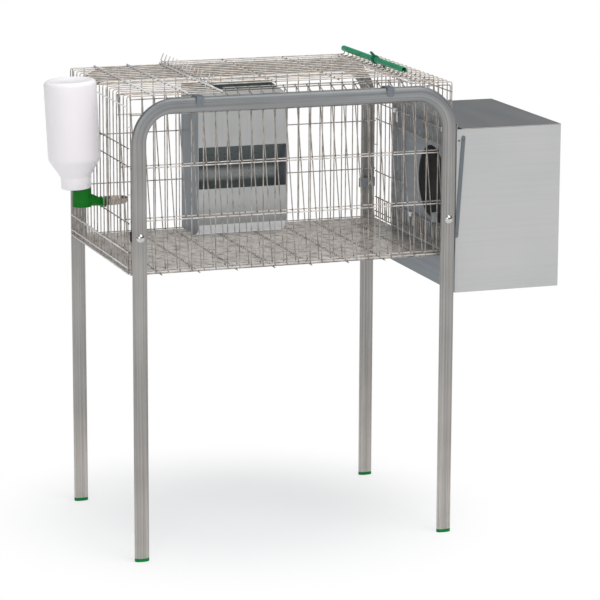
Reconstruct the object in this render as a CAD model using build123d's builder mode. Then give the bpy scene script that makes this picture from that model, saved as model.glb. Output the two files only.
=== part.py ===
from build123d import *
from math import atan2, cos, degrees, floor, hypot, radians, sin, tan
import os

os.makedirs("parts", exist_ok=True)

# Rabbit cage: +X to the right, +Y to the back, +Z up, standing on Z = 0.
# Driving sizes in millimetres.
frame_w = 684.0
frame_d = 467.0
frame_h = 939.0
tube_w = 30.0
tube_t = 15.0
tube_wall = 1.6
tube_corner = 3.5
tube_bend_r = 72.0
groove_w = 4.0
groove_depth = 0.8
groove_spacing = 10.0

foot_h = 7.0
plug_h = 20.0
plug_gap = 0.4

cage_side_over = 1.0
cage_top_over = 2.5
cage_h = 356.5
front_gap = 14.5
back_gap = 4.0
wire_d = 2.2
rod_d = 3.2
wire_sides = 4
rod_sides = 8
wire_pitch = 25.0
front_inset = 5.0
side_inset = 4.0
floor_pitch = 13.0
floor_cross_pitch = 79.0
weld_gap = 0.02
top_bend = 6.0
floor_stick = 6.0

# Heights of the cross wires as shares of the cage height.
front_bar_shares = (0.010, 0.303, 0.600, 0.898, 0.985)
back_bar_shares = (0.010, 0.306, 0.600, 0.898)
side_bar_shares = (0.010, 0.042, 0.130, 0.290, 0.611, 0.712, 0.944)
saver_bars = 3
left_rod_shares = (0.735, 0.368)

bolt_d = 6.0
bolt_head_d = 17.0
bolt_head_h = 4.0
dome_shares = (0.8, 0.35)
bolt_sides = 12
bolt_past = 3.0
plate_bar_gap = 19.0
hole_gap = 0.3
nut_across = 10.0
nut_h = 5.0
spacer_w = 28.0
spacer_h = 20.0
plate_w = 35.0
plate_h = 20.0
plate_t = 2.0
clip_w = 15.5
clip_t = 1.5
clip_drop = 17.0
clip_reach = 200.0
clip_shift = -3.0

rack_foot_y = 16.0
rack_top_y = 90.0
rack_foot_z = 5.0
rack_top_z = 7.0
rack_bar_shares = (0.003, 0.232, 0.528, 0.824, 0.997)
lip_depth = 25.0
lip_rise = 8.5
lip_start = 4.0
lip_bar_share = 0.6
hay_slot = 77.5

lid_left = -148.0
lid_right = 252.0
lid_rest_gap = 0.4
lid_cross_wires = 4
lid_over = 14.0
comb_length = 17.5
comb_lean = 69.0
ring_t = 1.6
ring_wall = 1.2
ring_gap = 0.1
ring_sides = 6
edge_ring_shares = (0.45, 0.83)
handle_r = 6.0
handle_wall = 1.4
handle_rise = 12.2
handle_slot = 3.2
latch_reach = 16.0
latch_w = 9.0
latch_gap = 0.35
latch_wall = 2.5
latch_y = 25.0
latch_play = 1.2
latch_under = 1.5

feeder_left = -102.0
feeder_w = 195.0
feeder_front = 125.0
feeder_drop = 46.0
feeder_lift = 4.0
feeder_sheet = 1.0
feeder_ledge = 48.0
mouth_low = 106.5
mouth_high = 195.0
trough_bend_r = 32.0
baffle_gap = 38.0
baffle_bulge_y = 12.7
baffle_bulge_z = 9.5
feeder_hook_shares = (0.2, 0.8)
side_hook_reach = 4.0
side_hook_h = 10.0
side_hook_w = 6.0
side_hook_step = 22.0

nest_gap = 4.0
nest_w = 231.0
nest_front = -228.0
nest_depth = 368.0
nest_low = 78.0
nest_h = 339.0
nest_sheet = 1.0
entrance_r = 76.0
entrance_y = -94.0
entrance_z = 132.0
cut_reach_front = 100.0
cut_reach_rear = 150.0
cut_bar_past = 10.0
nest_upstand = 12.0
nest_pin_r = 2.0
nest_run_gap = 0.05
knuckle_wall = 1.8
knuckle_l = 40.0
knuckle_shares = (0.15, 0.5, 0.85)
lid_knuckle_shares = (0.3, 0.7)
nest_lid_lip = 6.0
nest_lid_gap = 1.0
nest_lid_t = 1.2
stay_w = 8.0
stay_t = 2.0
stay_top_in = 14.5
stay_top_drop = 13.0
stay_low_in = 1.5
stay_low_drop = 223.7
corner_rivet_drop = 23.0
rivet_r = 2.6
rivet_taper = 30.0
rivet_sides = 8
hook_w = 14.0
hook_t = 1.5
top_hook_shares = (0.15, 0.88)
low_hook_share = 0.62

bottle_r = 53.0
bottle_h = 161.0
bottle_wall = 1.5
bottle_cone = 36.0
collar_r = 30.3
collar_h = 24.0
bottle_tilt = 2.9
bottle_rim_r = 7.0
bottle_out = 54.0
drinker_y = -20.0
drinker_lift = 3.0
cap_r = 19.5
cap_h = 38.5
cap_shift = 11.0
cap_drop = 7.0
elbow_r = 16.5
neck_r = 8.0
flange_r = 11.5
flange_t = 3.0
cup_l = 46.0
cup_w = 42.0
cup_h = 14.0
cup_sheet = 0.8
cup_corner_r = 16.0
cup_flare = 12.0
cup_rise = 7.5

# Derived places, measured from the middle of the cage in X.
wire_r = wire_d / 2
rod_r = rod_d / 2
layer = wire_d + weld_gap
front_frame_y = -frame_d / 2
rear_frame_y = frame_d / 2
cage_front = front_frame_y + tube_t / 2 + front_gap
cage_back = rear_frame_y - tube_t / 2 - back_gap
cage_d = cage_back - cage_front
side_x = frame_w / 2 + cage_side_over
top_z = frame_h + cage_top_over
floor_z = top_z - cage_h
panel_foot = floor_z + wire_r + weld_gap
leg_x = frame_w / 2 - tube_w / 2

nest_left = side_x + nest_gap
nest_right = nest_left + nest_w
nest_bottom = floor_z - nest_low
nest_top = nest_bottom + nest_h
nest_back = nest_front + nest_depth

# The bottle leans outwards at its top, so its rim sets the left end of the cage.
tilt = radians(bottle_tilt)
bottle_foot_x = -side_x - bottle_out
bottle_len = collar_h + bottle_cone + bottle_h
rim_axis_x = bottle_foot_x - (bottle_len - bottle_rim_r) * sin(tilt)
left_end = rim_axis_x - (bottle_r - bottle_rim_r) * cos(tilt) - bottle_rim_r
right_end = nest_right
cage_x = -(left_end + right_end) / 2


def wire_end():
    """End of a straight wire, few-sided to stay light, with its corners towards the wires it crosses."""
    RegularPolygon(wire_r, wire_sides)


def ring_outline(first, second, reach):
    """Six corners of a flat ring that closes round two wires, with its sides at reach from both."""
    run = hypot(second[0] - first[0], second[1] - first[1])
    along = ((second[0] - first[0]) / run, (second[1] - first[1]) / run)
    tip = reach / cos(radians(30))
    return [
        (
            wire[0] + along[0] * ahead - along[1] * aside,
            wire[1] + along[1] * ahead + along[0] * aside,
        )
        for wire, ahead, aside in (
            (first, -tip, 0),
            (first, -tip / 2, -reach),
            (second, tip / 2, -reach),
            (second, tip, 0),
            (second, tip / 2, reach),
            (first, -tip / 2, reach),
        )
    ]


def spread(first, last, pitch):
    """Evenly pitched places, centred between first and last."""
    steps = floor((last - first) / pitch + 1e-6)
    start = (first + last - steps * pitch) / 2
    return [start + pitch * i for i in range(steps + 1)]


def between(places, wanted):
    """Middle of the gap between two neighbouring wires that lies nearest to wanted."""
    middles = [(a + b) / 2 for a, b in zip(places, places[1:])]
    return min(middles, key=lambda m: abs(m - wanted))


def plane_x(x):
    """Sketch plane with local (Y, Z) that grows towards +X."""
    return Plane(origin=(cage_x + x, 0, 0), x_dir=(0, 1, 0), z_dir=(1, 0, 0))


def plane_y(y):
    """Sketch plane with local (X, Z) that grows towards -Y."""
    return Plane(origin=(cage_x, y, 0), x_dir=(1, 0, 0), z_dir=(0, -1, 0))


def plane_z(z):
    """Sketch plane with local (X, Y) that grows towards +Z."""
    return Plane(origin=(cage_x, 0, z), x_dir=(1, 0, 0), z_dir=(0, 0, 1))


front_xs = spread(-side_x + front_inset, side_x - front_inset, wire_pitch)
side_ys = spread(cage_front + side_inset, cage_back - side_inset, wire_pitch)
front_bars = [floor_z + cage_h * s for s in front_bar_shares]
back_bars = [floor_z + cage_h * s for s in back_bar_shares]
side_bars = [floor_z + cage_h * s for s in side_bar_shares]
panel_end = side_x - layer - wire_r - weld_gap
bolt_height = back_bars[1] - wire_r - plate_bar_gap - plate_h / 2

# Frames: one tube each, flattened, with two long grooves on each broad face.
cap_top = foot_h
bend_z = frame_h - tube_w / 2
bore_corner = tube_corner - tube_wall * (2 - 2 ** 0.5)
for frame_name, frame_y in (("front_frame", front_frame_y), ("rear_frame", rear_frame_y)):
    with BuildPart() as frame:
        with BuildLine(plane_y(frame_y)) as frame_path:
            FilletPolyline(
                (-leg_x, cap_top), (-leg_x, bend_z), (leg_x, bend_z), (leg_x, cap_top),
                radius=tube_bend_r,
            )
        with BuildSketch(Plane(origin=(cage_x - leg_x, frame_y, cap_top))) as tube_section:
            Rectangle(tube_w, tube_t)
            chamfer(tube_section.vertices(), tube_corner)
            for groove_x in (-groove_spacing / 2, groove_spacing / 2):
                for face_y in (-tube_t / 2, tube_t / 2):
                    inward = -1 if face_y > 0 else 1
                    with BuildLine():
                        Polyline(
                            (groove_x - groove_w / 2, face_y),
                            (groove_x, face_y + inward * groove_depth),
                            (groove_x + groove_w / 2, face_y),
                            close=True,
                        )
                    make_face(mode=Mode.SUBTRACT)
            with BuildSketch(mode=Mode.PRIVATE) as tube_bore:
                Rectangle(tube_w - 2 * tube_wall, tube_t - 2 * tube_wall)
                chamfer(tube_bore.vertices(), bore_corner)
            add(tube_bore.sketch, mode=Mode.SUBTRACT)
        sweep(path=frame_path.line)
        with BuildSketch(plane_y(frame_y + tube_t)):
            with Locations((-leg_x, bolt_height), (leg_x, bolt_height)):
                RegularPolygon(bolt_d / 2 + hole_gap, bolt_sides)
        extrude(amount=2 * tube_t, mode=Mode.SUBTRACT)
    frame.part.label = frame_name
    export_step(frame.part, f"parts/{frame_name}.step")

# Foot caps: a sole as broad as the tube, with a plug inside it.
for foot_name, foot_x, foot_y in (
    ("foot_cap_front_left", -leg_x, front_frame_y),
    ("foot_cap_front_right", leg_x, front_frame_y),
    ("foot_cap_rear_left", -leg_x, rear_frame_y),
    ("foot_cap_rear_right", leg_x, rear_frame_y),
):
    with BuildPart() as foot_cap:
        with BuildSketch(plane_z(0)) as sole:
            with Locations((foot_x, foot_y)):
                Rectangle(tube_w, tube_t)
            chamfer(sole.vertices(), tube_corner)
        extrude(amount=foot_h - weld_gap)
        with BuildSketch(plane_z(foot_h - weld_gap)) as plug:
            with Locations((foot_x, foot_y)):
                Rectangle(tube_w - 2 * tube_wall - 2 * plug_gap, tube_t - 2 * tube_wall - 2 * plug_gap)
            chamfer(plug.vertices(), bore_corner)
        extrude(amount=plug_h)
    foot_cap.part.label = foot_name
    export_step(foot_cap.part, f"parts/{foot_name}.step")

# Cage fixings: bolt, spacer, clamp plate and nut at each leg.
front_face = front_frame_y - tube_t / 2
rear_face = rear_frame_y + tube_t / 2
front_plate_y = cage_front + wire_r + weld_gap
back_plate_y = cage_back - wire_r - weld_gap
front_nut_y = front_plate_y + plate_t + weld_gap
back_nut_y = back_plate_y - plate_t - weld_gap
fix_xs = (-leg_x, leg_x)

head_r = bolt_head_d / 2
flat_share = cos(radians(180 / bolt_sides))
mid_r = head_r * dome_shares[0]
crown_r = head_r * dome_shares[1]
rim_taper = degrees(atan2((head_r - mid_r) * flat_share, bolt_head_h / 2))
crown_taper = degrees(atan2((mid_r - crown_r) * flat_share, bolt_head_h / 2))
with BuildPart() as leg_bolts:
    for face_y, outward, end_y in (
        (front_face - weld_gap, -1, front_nut_y + nut_h + bolt_past),
        (rear_face + weld_gap, 1, back_nut_y - nut_h - bolt_past),
    ):
        for fix_x in fix_xs:
            head_plane = Plane(
                origin=(cage_x + fix_x, face_y, bolt_height), x_dir=(1, 0, 0), z_dir=(0, outward, 0)
            )
            with BuildSketch(head_plane):
                RegularPolygon(bolt_d / 2, bolt_sides)
            extrude(amount=-abs(end_y - face_y))
            with BuildSketch(head_plane):
                RegularPolygon(head_r, bolt_sides)
            extrude(amount=bolt_head_h / 2, taper=rim_taper)
            with BuildSketch(head_plane.offset(bolt_head_h / 2)):
                RegularPolygon(mid_r, bolt_sides)
            extrude(amount=bolt_head_h / 2, taper=crown_taper)
leg_bolts.part.label = "leg_bolts"
export_step(leg_bolts.part, "parts/leg_bolts.step")

with BuildPart() as leg_nuts:
    for nut_y in (front_nut_y + nut_h, back_nut_y):
        with BuildSketch(plane_y(nut_y)):
            with Locations(*[(fix_x, bolt_height) for fix_x in fix_xs]):
                RegularPolygon(nut_across / 2, 6, major_radius=False)
                RegularPolygon(bolt_d / 2 + hole_gap, bolt_sides, mode=Mode.SUBTRACT)
        extrude(amount=nut_h)
leg_nuts.part.label = "leg_nuts"
export_step(leg_nuts.part, "parts/leg_nuts.step")

front_spacer_t = front_gap - wire_r - 2 * weld_gap
back_spacer_t = back_gap - wire_r - 2 * weld_gap
with BuildPart() as leg_spacers:
    for spacer_y, spacer_t in (
        (cage_front - wire_r - weld_gap, front_spacer_t),
        (cage_back + wire_r + weld_gap + back_spacer_t, back_spacer_t),
    ):
        with BuildSketch(plane_y(spacer_y)):
            with Locations(*[(fix_x, bolt_height) for fix_x in fix_xs]):
                Rectangle(spacer_w, spacer_h)
                RegularPolygon(bolt_d / 2 + hole_gap, bolt_sides, mode=Mode.SUBTRACT)
        extrude(amount=spacer_t)
leg_spacers.part.label = "leg_spacers"
export_step(leg_spacers.part, "parts/leg_spacers.step")

plate_edge = panel_end - wire_d
plate_x = plate_edge - plate_w / 2
with BuildPart() as clamp_plates:
    for plate_y in (front_plate_y + plate_t, back_plate_y):
        with BuildSketch(plane_y(plate_y)):
            with Locations((-plate_x, bolt_height), (plate_x, bolt_height)):
                Rectangle(plate_w, plate_h)
            with Locations(*[(fix_x, bolt_height) for fix_x in fix_xs]):
                RegularPolygon(bolt_d / 2 + hole_gap, bolt_sides, mode=Mode.SUBTRACT)
        extrude(amount=plate_t)
clamp_plates.part.label = "clamp_plates"
export_step(clamp_plates.part, "parts/clamp_plates.step")

# Clips that hang the front panel on the front tube.
clip_bar_z = front_bars[-1]
clip_top = frame_h + weld_gap
clip_back = cage_front - layer + wire_r + hole_gap + clip_t
clip_xs = [between(front_xs, x) + clip_shift for x in (-clip_reach, clip_reach)]
with BuildPart() as frame_clips:
    for clip_x in clip_xs:
        with BuildSketch(plane_x(clip_x - clip_w / 2)):
            with BuildLine():
                Polyline(
                    (front_face - weld_gap, frame_h - clip_drop),
                    (front_face - weld_gap, clip_top),
                    (clip_back - clip_t, clip_top),
                    (clip_back - clip_t, clip_bar_z - 2 * wire_d),
                    (clip_back, clip_bar_z - 2 * wire_d),
                    (clip_back, clip_top + clip_t),
                    (front_face - weld_gap - clip_t, clip_top + clip_t),
                    (front_face - weld_gap - clip_t, frame_h - clip_drop),
                    close=True,
                )
            make_face()
        extrude(amount=clip_w)
frame_clips.part.label = "frame_clips"
export_step(frame_clips.part, "parts/frame_clips.step")

# Front panel: upright wires, cross wires outside them, and a bent lip at the hay slot.
slot_xs = [x for x in front_xs if lid_left + 3 * wire_d < x < lid_right - 3 * wire_d]
lip_z = top_z - lip_start
lip_plane = Plane(
    origin=(cage_x, cage_front, lip_z), x_dir=(1, 0, 0), z_dir=(0, lip_depth, lip_rise)
)
lip_l = hypot(lip_depth, lip_rise)
lip_y_share = lip_depth / lip_l
lip_z_share = lip_rise / lip_l
with BuildPart() as front_panel:
    with BuildSketch(plane_z(panel_foot)):
        with Locations(*[(x, cage_front) for x in front_xs]):
            wire_end()
    extrude(amount=lip_z - wire_r - panel_foot)
    with BuildSketch(plane_x(-panel_end)):
        with Locations(*[(cage_front - layer, z) for z in front_bars]):
            wire_end()
    extrude(amount=2 * panel_end)
    with BuildSketch(lip_plane):
        with Locations(*[(x, 0) for x in slot_xs]):
            wire_end()
    extrude(amount=lip_l)
    with BuildSketch(plane_x(slot_xs[0] - wire_d)):
        for along in (lip_bar_share * lip_l, lip_l - wire_r):
            with Locations((
                cage_front + along * lip_y_share - layer * lip_z_share,
                lip_z + along * lip_z_share + layer * lip_y_share,
            )):
                wire_end()
    extrude(amount=slot_xs[-1] - slot_xs[0] + 2 * wire_d)
front_panel.part.label = "front_panel"
export_step(front_panel.part, "parts/front_panel.step")

# Hay rack: a slanted panel behind the front panel.
rack_low = (cage_front + rack_foot_y, floor_z + rack_foot_z)
rack_rise = top_z - rack_top_z - rack_low[1]
rack_run = rack_top_y - rack_foot_y
rack_l = hypot(rack_rise, rack_run)
rack_plane = Plane(
    origin=(cage_x, rack_low[0], rack_low[1]), x_dir=(1, 0, 0), z_dir=(0, rack_run, rack_rise)
)
with BuildPart() as hay_rack:
    with BuildSketch(rack_plane):
        with Locations(*[(x, 0) for x in front_xs]):
            wire_end()
    extrude(amount=rack_l)
    with BuildSketch(plane_x(-panel_end)):
        for share in rack_bar_shares:
            along = rack_l * share
            with Locations((
                rack_low[0] + along * rack_run / rack_l + layer * rack_rise / rack_l,
                rack_low[1] + along * rack_rise / rack_l - layer * rack_run / rack_l,
            )):
                wire_end()
    extrude(amount=2 * panel_end)
hay_rack.part.label = "hay_rack"
export_step(hay_rack.part, "parts/hay_rack.step")

# Back panel, with its cross wires on the inside.
with BuildPart() as back_panel:
    with BuildSketch(plane_z(panel_foot)):
        with Locations(*[(x, cage_back) for x in front_xs]):
            wire_end()
    extrude(amount=top_z - panel_foot)
    with BuildSketch(plane_x(-panel_end)):
        with Locations(*[(cage_back - layer, z) for z in back_bars]):
            wire_end()
    extrude(amount=2 * panel_end)
back_panel.part.label = "back_panel"
export_step(back_panel.part, "parts/back_panel.step")

# Side panels: upright wires outside, cross wires inside, close-set wires at the foot.
saver_ys = spread(side_ys[0] + wire_pitch / 2, side_ys[-1] - wire_pitch / 2, wire_pitch)
bend_trim = wire_r * tan(radians(45) / 2) + weld_gap
upright_top = top_z - top_bend
upright_end = upright_top - bend_trim
saver_top = side_bars[saver_bars - 1] + wire_r
cut_high = side_bars[saver_bars + 1]
cut_ys = [y for y in side_ys if -cut_reach_front < y - entrance_y < cut_reach_rear]
whole_ys = [y for y in side_ys if y not in cut_ys]
bar_l = cage_d - 2 * wire_d
cut_to = cut_ys[-1] + wire_pitch - cut_bar_past
mid_bar = side_bars[saver_bars]

with BuildPart() as left_side_panel:
    with BuildSketch(plane_z(panel_foot)):
        with Locations(*[(-side_x, y) for y in side_ys]):
            wire_end()
    extrude(amount=upright_end - panel_foot)
    with BuildSketch(plane_z(panel_foot)):
        with Locations(*[(-side_x, y) for y in saver_ys]):
            wire_end()
    extrude(amount=saver_top - panel_foot)
    with BuildSketch(plane_y(cage_back - wire_d)):
        with Locations(*[(-side_x + layer, z) for z in side_bars]):
            wire_end()
    extrude(amount=bar_l)
left_side_panel.part.label = "left_side_panel"
export_step(left_side_panel.part, "parts/left_side_panel.step")

with BuildPart() as right_side_panel:
    with BuildSketch(plane_z(panel_foot)):
        with Locations(*[(side_x, y) for y in whole_ys]):
            wire_end()
    extrude(amount=upright_end - panel_foot)
    with BuildSketch(plane_z(panel_foot)):
        with Locations(*[(side_x, y) for y in cut_ys + saver_ys]):
            wire_end()
    extrude(amount=saver_top - panel_foot)
    with BuildSketch(plane_z(cut_high - wire_r)):
        with Locations(*[(side_x, y) for y in cut_ys]):
            wire_end()
    extrude(amount=upright_end - cut_high + wire_r)
    with BuildSketch(plane_y(cage_back - wire_d)):
        with Locations(*[(side_x - layer, z) for z in side_bars if z != mid_bar]):
            wire_end()
    extrude(amount=bar_l)
    with BuildSketch(plane_y(cage_back - wire_d)):
        with Locations((side_x - layer, mid_bar)):
            wire_end()
    extrude(amount=cage_back - wire_d - cut_to)
right_side_panel.part.label = "right_side_panel"
export_step(right_side_panel.part, "parts/right_side_panel.step")

# Fixed top, left and right of the lid: each cross wire is the bent end of a side wire.
bend_l = top_bend * 2 ** 0.5 - 2 * bend_trim
bend_start = bend_trim / 2 ** 0.5
rod_z = top_z + wire_r + rod_r + weld_gap
rod_back = cage_back - wire_d
rod_l = cage_d - 2 * wire_d
left_rods = [lid_left - (lid_left + side_x) * s for s in left_rod_shares]
left_bend = Plane(
    origin=(cage_x - side_x + bend_start, 0, upright_top + bend_start),
    x_dir=(0, 1, 0), z_dir=(1, 0, 1),
)
right_bend = Plane(
    origin=(cage_x + side_x - bend_start, 0, upright_top + bend_start),
    x_dir=(0, 1, 0), z_dir=(-1, 0, 1),
)
with BuildPart() as top_left_panel:
    with BuildSketch(left_bend):
        with Locations(*[(y, 0) for y in side_ys]):
            wire_end()
    extrude(amount=bend_l)
    with BuildSketch(plane_x(-side_x + top_bend + bend_trim)):
        with Locations(*[(y, top_z) for y in side_ys]):
            wire_end()
    extrude(amount=lid_left + rod_r - (-side_x + top_bend + bend_trim))
    with BuildSketch(plane_y(rod_back)):
        with Locations(*[(x, rod_z) for x in left_rods]):
            RegularPolygon(rod_r, rod_sides)
        with Locations((lid_left, rod_z)):
            Circle(rod_r)
    extrude(amount=rod_l)
top_left_panel.part.label = "top_left_panel"
export_step(top_left_panel.part, "parts/top_left_panel.step")

handle_x = lid_right + lid_over
catch_x = handle_x + latch_reach
catch_z = top_z - layer
strip_cross_x = (catch_x + side_x) / 2
with BuildPart() as top_right_panel:
    with BuildSketch(right_bend):
        with Locations(*[(y, 0) for y in side_ys]):
            wire_end()
    extrude(amount=bend_l)
    with BuildSketch(plane_x(lid_right - rod_r)):
        with Locations(*[(y, top_z) for y in side_ys]):
            wire_end()
    extrude(amount=side_x - top_bend - bend_trim - lid_right + rod_r)
    with BuildSketch(plane_y(rod_back)):
        with Locations((lid_right, rod_z)):
            RegularPolygon(rod_r, rod_sides)
    extrude(amount=rod_l)
    with BuildSketch(plane_y(rod_back)):
        with Locations((catch_x, catch_z), (strip_cross_x, catch_z)):
            wire_end()
    extrude(amount=rod_l)
top_right_panel.part.label = "top_right_panel"
export_step(top_right_panel.part, "parts/top_right_panel.step")

# Wire floor: close wires to stand on, cross wires beneath that stick out at the front.
floor_ys = spread(cage_front + wire_d, cage_back - wire_d, floor_pitch)
cross_xs = spread(-side_x + floor_cross_pitch / 2, side_x - floor_cross_pitch / 2, floor_cross_pitch)
with BuildPart() as floor_panel:
    with BuildSketch(plane_x(-panel_end)):
        with Locations(*[(y, floor_z) for y in floor_ys]):
            wire_end()
    extrude(amount=2 * panel_end)
    with BuildSketch(plane_y(cage_back)):
        with Locations(*[(x, floor_z - layer) for x in cross_xs]):
            wire_end()
    extrude(amount=cage_d + floor_stick)
floor_panel.part.label = "floor_panel"
export_step(floor_panel.part, "parts/floor_panel.step")

# Rings that tie the panels at the four upright edges and along the floor.
mid_ring_z, top_ring_z = [between(side_bars, floor_z + cage_h * s) for s in edge_ring_shares]
edge_spots = []
for end_y, panel_y in ((side_ys[0], cage_front), (side_ys[-1], cage_back)):
    for end_x, wire_x in ((-side_x, front_xs[0]), (side_x, front_xs[-1])):
        edge_spots.append(((end_x, end_y), (wire_x, panel_y), top_ring_z))
        if end_x < 0 or end_y > nest_back:
            edge_spots.append(((end_x, end_y), (wire_x, panel_y), mid_ring_z))
floor_ring_xs = [between(front_xs, x) for x in (-side_x / 2, side_x / 2)]
ring_reach = wire_r + ring_gap
ring_spots = [(plane_z(ring_z), side_wire, end_wire) for side_wire, end_wire, ring_z in edge_spots]
for ring_x in floor_ring_xs:
    ring_spots.append((plane_x(ring_x), (cage_front - layer, front_bars[0]), (floor_ys[0], floor_z)))
    ring_spots.append((plane_x(ring_x), (cage_back - layer, back_bars[0]), (floor_ys[-1], floor_z)))
with BuildPart() as panel_rings:
    for ring_plane, first_wire, second_wire in ring_spots:
        with BuildSketch(ring_plane):
            with BuildLine():
                Polyline(*ring_outline(first_wire, second_wire, ring_reach + ring_wall), close=True)
            make_face()
            with BuildLine():
                Polyline(*ring_outline(first_wire, second_wire, ring_reach), close=True)
            make_face(mode=Mode.SUBTRACT)
        extrude(amount=ring_t)
panel_rings.part.label = "panel_rings"
export_step(panel_rings.part, "parts/panel_rings.step")

# Lid: turns about the third rod. Its wire ends stand up as a comb along the hinge.
lid_z = rod_z + rod_r + wire_r + lid_rest_gap
lid_cross_z = lid_z - layer
lid_ys = [y for y in side_ys if y > cage_front + hay_slot]
hinge_wire_x = lid_left + rod_r + wire_r + 2 * lid_rest_gap
stub_top = lid_z + handle_rise - handle_r + handle_wall + wire_d
comb_dip = wire_r * cos(radians(comb_lean))
comb_plane = Plane(
    origin=(
        cage_x + lid_left + wire_r * sin(radians(comb_lean)),
        0,
        lid_z + wire_r + comb_dip + weld_gap,
    ),
    x_dir=(0, 1, 0),
    z_dir=(cos(radians(comb_lean)), 0, sin(radians(comb_lean))),
)
lid_last_x = handle_x - 2 * wire_d - rod_r
lid_cross_step = (lid_last_x - hinge_wire_x) / (lid_cross_wires - 1)
lid_cross_xs = [hinge_wire_x + lid_cross_step * i for i in range(lid_cross_wires)]
with BuildPart() as lid:
    with BuildSketch(plane_x(lid_left)):
        with Locations(*[(y, lid_z) for y in lid_ys]):
            wire_end()
    extrude(amount=handle_x - wire_r - weld_gap - lid_left)
    with BuildSketch(plane_z(lid_z - wire_r)):
        with Locations(*[(handle_x, y) for y in lid_ys]):
            wire_end()
    extrude(amount=stub_top - lid_z + wire_r)
    with BuildSketch(comb_plane):
        with Locations(*[(y, 0) for y in lid_ys]):
            wire_end()
    extrude(amount=comb_length)
    with BuildSketch(plane_y(lid_ys[-1] + 2 * wire_d)):
        with Locations(*[(x, lid_cross_z) for x in lid_cross_xs]):
            wire_end()
    extrude(amount=lid_ys[-1] - lid_ys[0] + 4 * wire_d)
lid.part.label = "lid"
export_step(lid.part, "parts/lid.step")

hinge_reach = hypot(hinge_wire_x - lid_left, lid_cross_z - rod_z) + wire_r + ring_gap
hinge_ys = [between(lid_ys, y) for y in (lid_ys[0], (lid_ys[0] + lid_ys[-1]) / 2, lid_ys[-1])]
with BuildPart() as lid_hinge_rings:
    for hinge_y in hinge_ys:
        with BuildSketch(plane_y(hinge_y + ring_t / 2)):
            with Locations((lid_left, rod_z)):
                RegularPolygon(hinge_reach + ring_wall, ring_sides, major_radius=False)
                RegularPolygon(hinge_reach, ring_sides, major_radius=False, mode=Mode.SUBTRACT)
        extrude(amount=ring_t)
lid_hinge_rings.part.label = "lid_hinge_rings"
export_step(lid_hinge_rings.part, "parts/lid_hinge_rings.step")

handle_z = lid_z + handle_rise
handle_l = lid_ys[-1] - lid_ys[0] + 4 * wire_d
with BuildPart() as lid_edge_tube:
    with BuildSketch(plane_y(lid_ys[-1] + 2 * wire_d)):
        with Locations((handle_x, handle_z)):
            Circle(handle_r)
            Circle(handle_r - handle_wall, mode=Mode.SUBTRACT)
        with Locations((handle_x, handle_z - handle_r)):
            Rectangle(handle_slot, 2 * handle_r - wire_d, mode=Mode.SUBTRACT)
    extrude(amount=handle_l)
lid_edge_tube.part.label = "lid_edge_tube"
export_step(lid_edge_tube.part, "parts/lid_edge_tube.step")

# Latch: a ring round the edge tube, with a thumb tail and a foot under the fixed wire.
latch_in = handle_r + latch_gap
latch_out = latch_in + latch_wall
latch_mid = between(lid_ys, latch_y)
foot_in_x = catch_x + wire_r + latch_play
foot_out_x = foot_in_x + latch_wall
foot_tip_x = catch_x - wire_r
foot_top_z = catch_z - wire_r - latch_under
foot_low_z = foot_top_z - latch_wall
with BuildPart() as lid_latch:
    with BuildSketch(plane_y(latch_mid + latch_w / 2)):
        with Locations((handle_x, handle_z)):
            Circle(latch_out)
        with BuildLine():
            Polyline(
                (handle_x, handle_z + latch_wall),
                (foot_out_x, handle_z - latch_out - latch_wall),
                (foot_out_x, foot_low_z),
                (foot_tip_x, foot_low_z),
                (foot_tip_x, foot_top_z),
                (foot_in_x, foot_top_z),
                (foot_in_x, handle_z - latch_out - 2 * latch_wall),
                (handle_x, handle_z - latch_wall),
                close=True,
            )
        make_face()
        with BuildLine():
            Polyline(
                (handle_x + latch_wall, handle_z + latch_in),
                (handle_x - latch_out, handle_z + 2 * latch_out),
                (handle_x - latch_out - latch_wall, handle_z + 2 * latch_out - latch_wall),
                (handle_x - latch_in / 2, handle_z + latch_in - latch_wall),
                close=True,
            )
        make_face()
        with Locations((handle_x, handle_z)):
            Circle(latch_in, mode=Mode.SUBTRACT)
    extrude(amount=latch_w)
lid_latch.part.label = "lid_latch"
export_step(lid_latch.part, "parts/lid_latch.step")

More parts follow.
